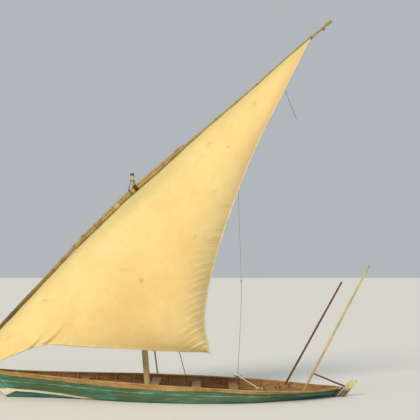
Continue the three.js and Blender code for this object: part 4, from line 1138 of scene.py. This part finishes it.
# Lines that run straight or with a little slack. columns: name, points, radius, finish, whether it runs from
# the hull to the rig, stands for
vangPoints = [(1.610, -0.150, 6.540), (1.665, 0.250, 4.300), (1.730, 0.640, 2.300), (1.660, 1.125, 0.330)]
lines = [
    ("shroudFore_line", [(-0.250, 1.085, 0.395), (-0.768, 0.058, 4.810)],
     0.009, coir, False, ["shroud_fore"]),
    ("shroudAft_line", [(0.420, 1.130, 0.362), (-0.744, 0.055, 4.800)], 0.009, coir, False, ["shroud_aft"]),
    ("halyard_line", [(-0.200, 0.812, 0.345), (-0.802, 0.050, 4.880)], 0.009, coir, False, ["halyard"]),
    ("vang_line", vangPoints, 0.007, paleLine, True, []),
    ("sheet_line", [(0.985, -0.800, 1.050), (1.480, -0.900, 0.650), (2.040, -1.085, 0.318)],
     0.010, paleLine, True, []),
    ("tack_line", [(-4.480, -0.066, 0.665), (-4.330, -0.040, 0.668), (-4.215, 0.0, 0.600)],
     0.009, coir, True, []),
]
for name, points, radius, material, blends, stands in lines:
    path = smoothPath(points, 200) if len(points) > 2 else np.linspace(points[0], points[1], 50)
    reference = (0, 1, 0.02) if name == "tack_line" else (0, 1, 0)
    layRope(name, path, radius, "hull", material, reference, stands, (path[-1], path[0]) if blends else None)
print("lines rove")


# Knots: balls of rope whose strands cross aslant
def knotGrid(middle, radius):
    # radius = size (0.93 + 0.07 |sin(3 (angle + 1.5 down))| + 0.03 |sin(3 (angle - 1.5 down))|)
    down = np.linspace(0.12, np.pi - 0.12, 18)[:, None]
    angle = np.linspace(0, 2 * np.pi, 36, endpoint=False)[None]
    oneWay, otherWay = (np.abs(np.sin(3 * (angle + way * 1.5 * down))) for way in (1, -1))
    r = radius * (0.93 + 0.07 * oneWay + 0.03 * otherWay)
    ball = [r * np.sin(down) * np.cos(angle), r * np.sin(down) * np.sin(angle), r * np.cos(down)]
    return np.stack(np.broadcast_arrays(*ball), -1) + np.asarray(middle)


# the knot near the yard's tip sits on its lower side, and the vang's knot at a height on the line
tipKnot = {"share": 0.967, "near": 0.005, "below": 0.026}
tipBefore, tipMiddle, tipAfter = along(upperLine, tipKnot["share"] + tipKnot["near"] * np.arange(-1, 2))
tipRun = unit(tipAfter - tipBefore)
tipMiddle = tipMiddle + tipKnot["below"] * np.array([tipRun[2], 0, -tipRun[0]])
vangPath = smoothPath(vangPoints, 200)
vangEnds = (vangPath[-1], vangPath[0])
vangKnotZ = 2.587
# columns: name, middle, radius, finish, body, ends of the line that it is blended with
knots = [
    ("tipKnot", tipMiddle, 0.042, goldLine, "rig", None),
    ("slingKnot", (-0.672, -0.232, 4.655), 0.024, slingLine, "rig", None),
    ("postKnot", (3.884, -0.056, 0.205), 0.031, paleCoir, "hull", None),
    ("clewKnot", (0.985, -0.802, 1.056), 0.024, paleLine, "rig", None),
    ("vangKnot", interpolated(-vangKnotZ, -vangPath[:, 2], vangPath), 0.020, paleLine, "rig", vangEnds),
]
for name, middle, radius, material, body, blend in knots:
    makePiece(name, knotGrid(middle, radius), body, [material], blend=blend)

# Mast head: a dark wooden cap, and under it a slack ring of rope with the strops that the yard hangs from
mastTop = {"capLow": 4.990, "capHigh": 5.034, "capRadius": 0.047, "ringZ": 4.872, "ringRadius": 0.0545,
           "ringSlope": -0.15, "ringThick": 0.0055, "stropRadius": 0.006, "stropGap": 0.007}
capPath = np.linspace(mastMiddle(mastTop["capLow"]), mastMiddle(mastTop["capHigh"]), 5)
capGrid = endCap(sweep(capPath, circle(32, mastTop["capRadius"])), 0.9)
makePiece("mastCap", capGrid, "hull", [capWood], sharp=50)
ringMiddle = mastMiddle(mastTop["ringZ"])
ringLoop = circle(48, mastTop["ringRadius"])
ringLoop = np.concatenate([ringLoop, mastTop["ringSlope"] * ringLoop[:, :1]], 1) + ringMiddle
rings("headRing", [ringLoop], mastTop["ringThick"], "rig", darkLine, 9)


def stropPath(x):
    # from the port side of the ring over the lower pole, down the upper pole's port side, under it and up
    # again. Each point lies so many radii across and up from the middle of its pole.
    middle, _, across, up = yardFrame(x)
    lower, upper = poleCircles(x, mastTop["stropGap"])
    way = []
    for ((side, high), radius), sideways, upwards in (
            (lower, -0.2, 1), (upper, -0.75, 0.75), (upper, -1, 0), (upper, 0, -1), (upper, 0.7, -0.7),
            (lower, 0.8, -0.6), (lower, 0.9, 0.45)):
        way.append(middle + (side + sideways * radius) * across + (high + upwards * radius) * up)
    return [ringMiddle + [-0.035, -0.045, 0.002]] + way + [ringMiddle + [-0.044, -0.033, 0.002]]


strops = [
    ("stropFore", stropPath(-0.822), blueLine),
    ("stropAft", [ringMiddle + [0.012, -0.052, 0.002], (-0.724, -0.095, 4.800), (-0.705, -0.128, 4.752)],
     darkLine),
    ("stropAftTwin", [ringMiddle + [0.036, -0.040, 0.002], (-0.706, -0.085, 4.812), (-0.690, -0.115, 4.765)],
     darkLine),
]
for name, points, material in strops:
    layRope(name, smoothPath(points, 160), mastTop["stropRadius"], "rig", material, (0.3, 0.1, 1))

# Cleats on the rail for the sheet and the vang: a short foot under a bar whose ends rise and taper
cleatShape = {
    "halfLength": 0.10, "height": 0.034, "rise": 0.014, "barRadius": 0.013, "taper": 0.45,
    "footAlong": 0.034, "footAcross": 0.013,
    # turns of rope on it: places along the bar, radius, lead and thickness
    "turns": (-0.062, -0.049, 0.049, 0.062), "turnRadius": 0.020, "lead": 0.004, "rope": 0.006,
    # name, x, y, z of the rail there
    "places": [("sheetCleat", 2.040, -1.086, 0.2795), ("vangCleat", 1.660, 1.125, 0.2975)],
}


def cleat(name, x, y, z):
    # the bar rises by s^2 and thins by s^2, with s from -1 to 1
    s = np.linspace(-1, 1, 17)
    top = z + cleatShape["height"]
    bar = [x + cleatShape["halfLength"] * s, np.full_like(s, y), top + cleatShape["rise"] * s**2]
    radius = cleatShape["barRadius"] * (1 - cleatShape["taper"] * s**2)
    barGrid = endCap(sweep(np.stack(bar, -1), radius[:, None, None] * circle(12)))
    makePiece(f"{name}_bar", barGrid, "hull", [greyWood])
    foot = np.linspace((x, y, z - 0.002), (x, y, top), 4)
    oval = circle(12, cleatShape["footAcross"], cleatShape["footAlong"])
    makePiece(f"{name}_foot", sweep(foot, oval, (1, 0, 0)), "hull", [greyWood], sharp=50)
    across, up = circle(48).T
    reach = cleatShape["turnRadius"]
    turn = np.stack([cleatShape["lead"] * up, reach * across, reach * up], -1)
    loops = [turn + [x + shift, y, top] for shift in cleatShape["turns"]]
    rings(f"{name}_hitch", loops, cleatShape["rope"], "hull", paleLine)


for place in cleatShape["places"]:
    cleat(*place)

# Nail heads: low domes on the planks along each rib, in rows on the strakes, the sheer strake and the rail
nails = {"radius": 0.008, "height": 0.003, "ribs": -2.88 + 0.42 * np.arange(14), "seamShares": (0.86, 0.5),
         "fromSeam": 0.02, "fromRailFoot": 0.02, "fromRailTop": 0.045, "corners": 6,
         "fore": 0.2, "longer": 0.35}


def domes(name, places, normals):
    # each is six-sided: a rim, a ring at 0.7 of the radius and 0.8 of the height, and a top
    across = unit(np.cross(normals, [0, 0, 1.0]))
    third = np.cross(normals, across)
    corners = nails["corners"]
    around = circle(corners)[:, None]
    way = around[..., :1] * across + around[..., 1:] * third
    rim = places + nails["radius"] * way
    ring = places + 0.7 * nails["radius"] * way + 0.8 * nails["height"] * normals
    top = places + nails["height"] * normals
    points = np.concatenate([rim, ring, top[None]]).transpose(1, 0, 2)
    start = np.arange(len(places))[:, None, None] * (2 * corners + 1)
    c, n = np.arange(corners), (np.arange(corners) + 1) % corners
    quads = (start + np.stack([c, n, n + corners, c + corners], -1)[None]).reshape(-1, 4).tolist()
    peak = np.full(corners, 2 * corners)
    tops = (start + np.stack([c + corners, n + corners, peak], -1)[None]).reshape(-1, 3).tolist()
    base = (start[:, 0] + np.arange(corners)[::-1]).tolist()
    addPiece(name, newMesh(name, points, quads + tops + base, [iron]), "hull")


def nailPlaces(side):
    # rows by height and by how far out their board's face stands, each at the ribs' places. At the nails'
    # height the hull starts further fore than at the water and is longer, by the two distances given.
    length = hull["postRabbet"] - hull["stemRabbet"] + nails["longer"]
    t = (nails["ribs"] - hull["stemRabbet"] + nails["fore"]) / length
    rows = [(upperSeam(t) * share, 0) for share in nails["seamShares"]]
    rows += [(upperSeam(t) + nails["fromSeam"], 0), (railFoot(t) - nails["fromRailFoot"], 0)]
    rows += [(railFoot(t) + nails["fromRailFoot"], hull["railOuter"]),
             (railTop(t) - nails["fromRailTop"], hull["railOuter"])]

    def moved(dt, dz):
        return np.concatenate([hullPoint(t + dt, z + dz, side, out) for z, out in rows])
    places = moved(0, 0)
    normals = unit(np.cross(moved(0, 0.01) - places, moved(0.004, 0) - places) * -side)
    return places, normals * np.sign(normals[:, 1] * side)[:, None]


for word, side in bothSides:
    domes(f"nails_{word}", *nailPlaces(side))
print("knots, cleats and nails done")

# Loose line at the leech, streaming a little aft: a free cord with a bare end
looseLine = smoothPath([(2.668, -0.500, 6.900), (2.738, -0.492, 6.718), (2.803, -0.486, 6.545),
                        (2.875, -0.480, 6.375), (2.941, -0.476, 6.208)], 60)
loose = layRope("looseLine", looseLine, 0.005, "rig", darkLine)

# Floor at the waterline, as far as the horizon, with an opening along the planking that keeps the hold clear
floorShape = {"middle": 0.2, "radius": 2600, "perSide": 140, "rings": 30, "growth": 7, "inPlank": -0.012}


def floorRings():
    # contour of the planking's middle at the water, moved out to a far circle in steps that grow evenly
    count = floorShape["perSide"]
    t = np.concatenate([np.linspace(0, 1, count), np.linspace(1, 0, count)])
    side = np.concatenate([-np.ones(count), np.ones(count)])
    inner = hullPoint(t, np.zeros_like(t), side, floorShape["inPlank"])
    way = np.unwrap(np.arctan2(inner[:, 1], inner[:, 0] - floorShape["middle"]))
    reach = floorShape["radius"]
    far = np.stack([floorShape["middle"] + reach * np.cos(way), reach * np.sin(way), np.zeros_like(way)], -1)
    share = np.linspace(0, 1, floorShape["rings"])[:, None, None] ** floorShape["growth"]
    return inner[None] + (far - inner)[None] * share


grid = floorRings()
plaster, _, _ = newMaterial("palePlaster", 0.9, Base_Color=linear("#eceae4"))
mesh = newMesh("floor", grid, gridQuads(*grid.shape[:2])[:, ::-1].tolist(), [plaster])
mesh.shade_flat()
floor = bpy.data.objects.new("floor", mesh)
scene.collection.objects.link(floor)

# Studio light: a broad soft key high on the left behind the camera, a weaker cool fill from the right, pale
# surroundings. columns: name, the way it shines, strength, how wide it looks in degrees, colour
lights = [
    ("key", (0.50, 1.0, -0.72), 1.95, 22, "#fff2dc"),
    ("fill", (-0.9, 1.0, -0.55), 0.39, 60, "#eef3ff"),
]
for name, way, strength, angle, colour in lights:
    data = bpy.data.lights.new(name, "SUN")
    data.energy = strength
    data.angle = math.radians(angle)
    data.color = linear(colour)[:3]
    lamp = bpy.data.objects.new(name, data)
    steep = math.acos(-way[2] / math.hypot(*way))
    lamp.rotation_euler = (steep, 0, math.atan2(way[1], way[0]) - math.pi / 2)
    scene.collection.objects.link(lamp)
world = bpy.data.worlds.new("surroundings")
world.use_nodes = True
background = world.node_tree.nodes["Background"]
background.inputs["Color"].default_value = linear("#dfe6ea")
background.inputs["Strength"].default_value = 0.60
scene.world = world
scene.view_settings.view_transform = "Standard"
print("lights on")
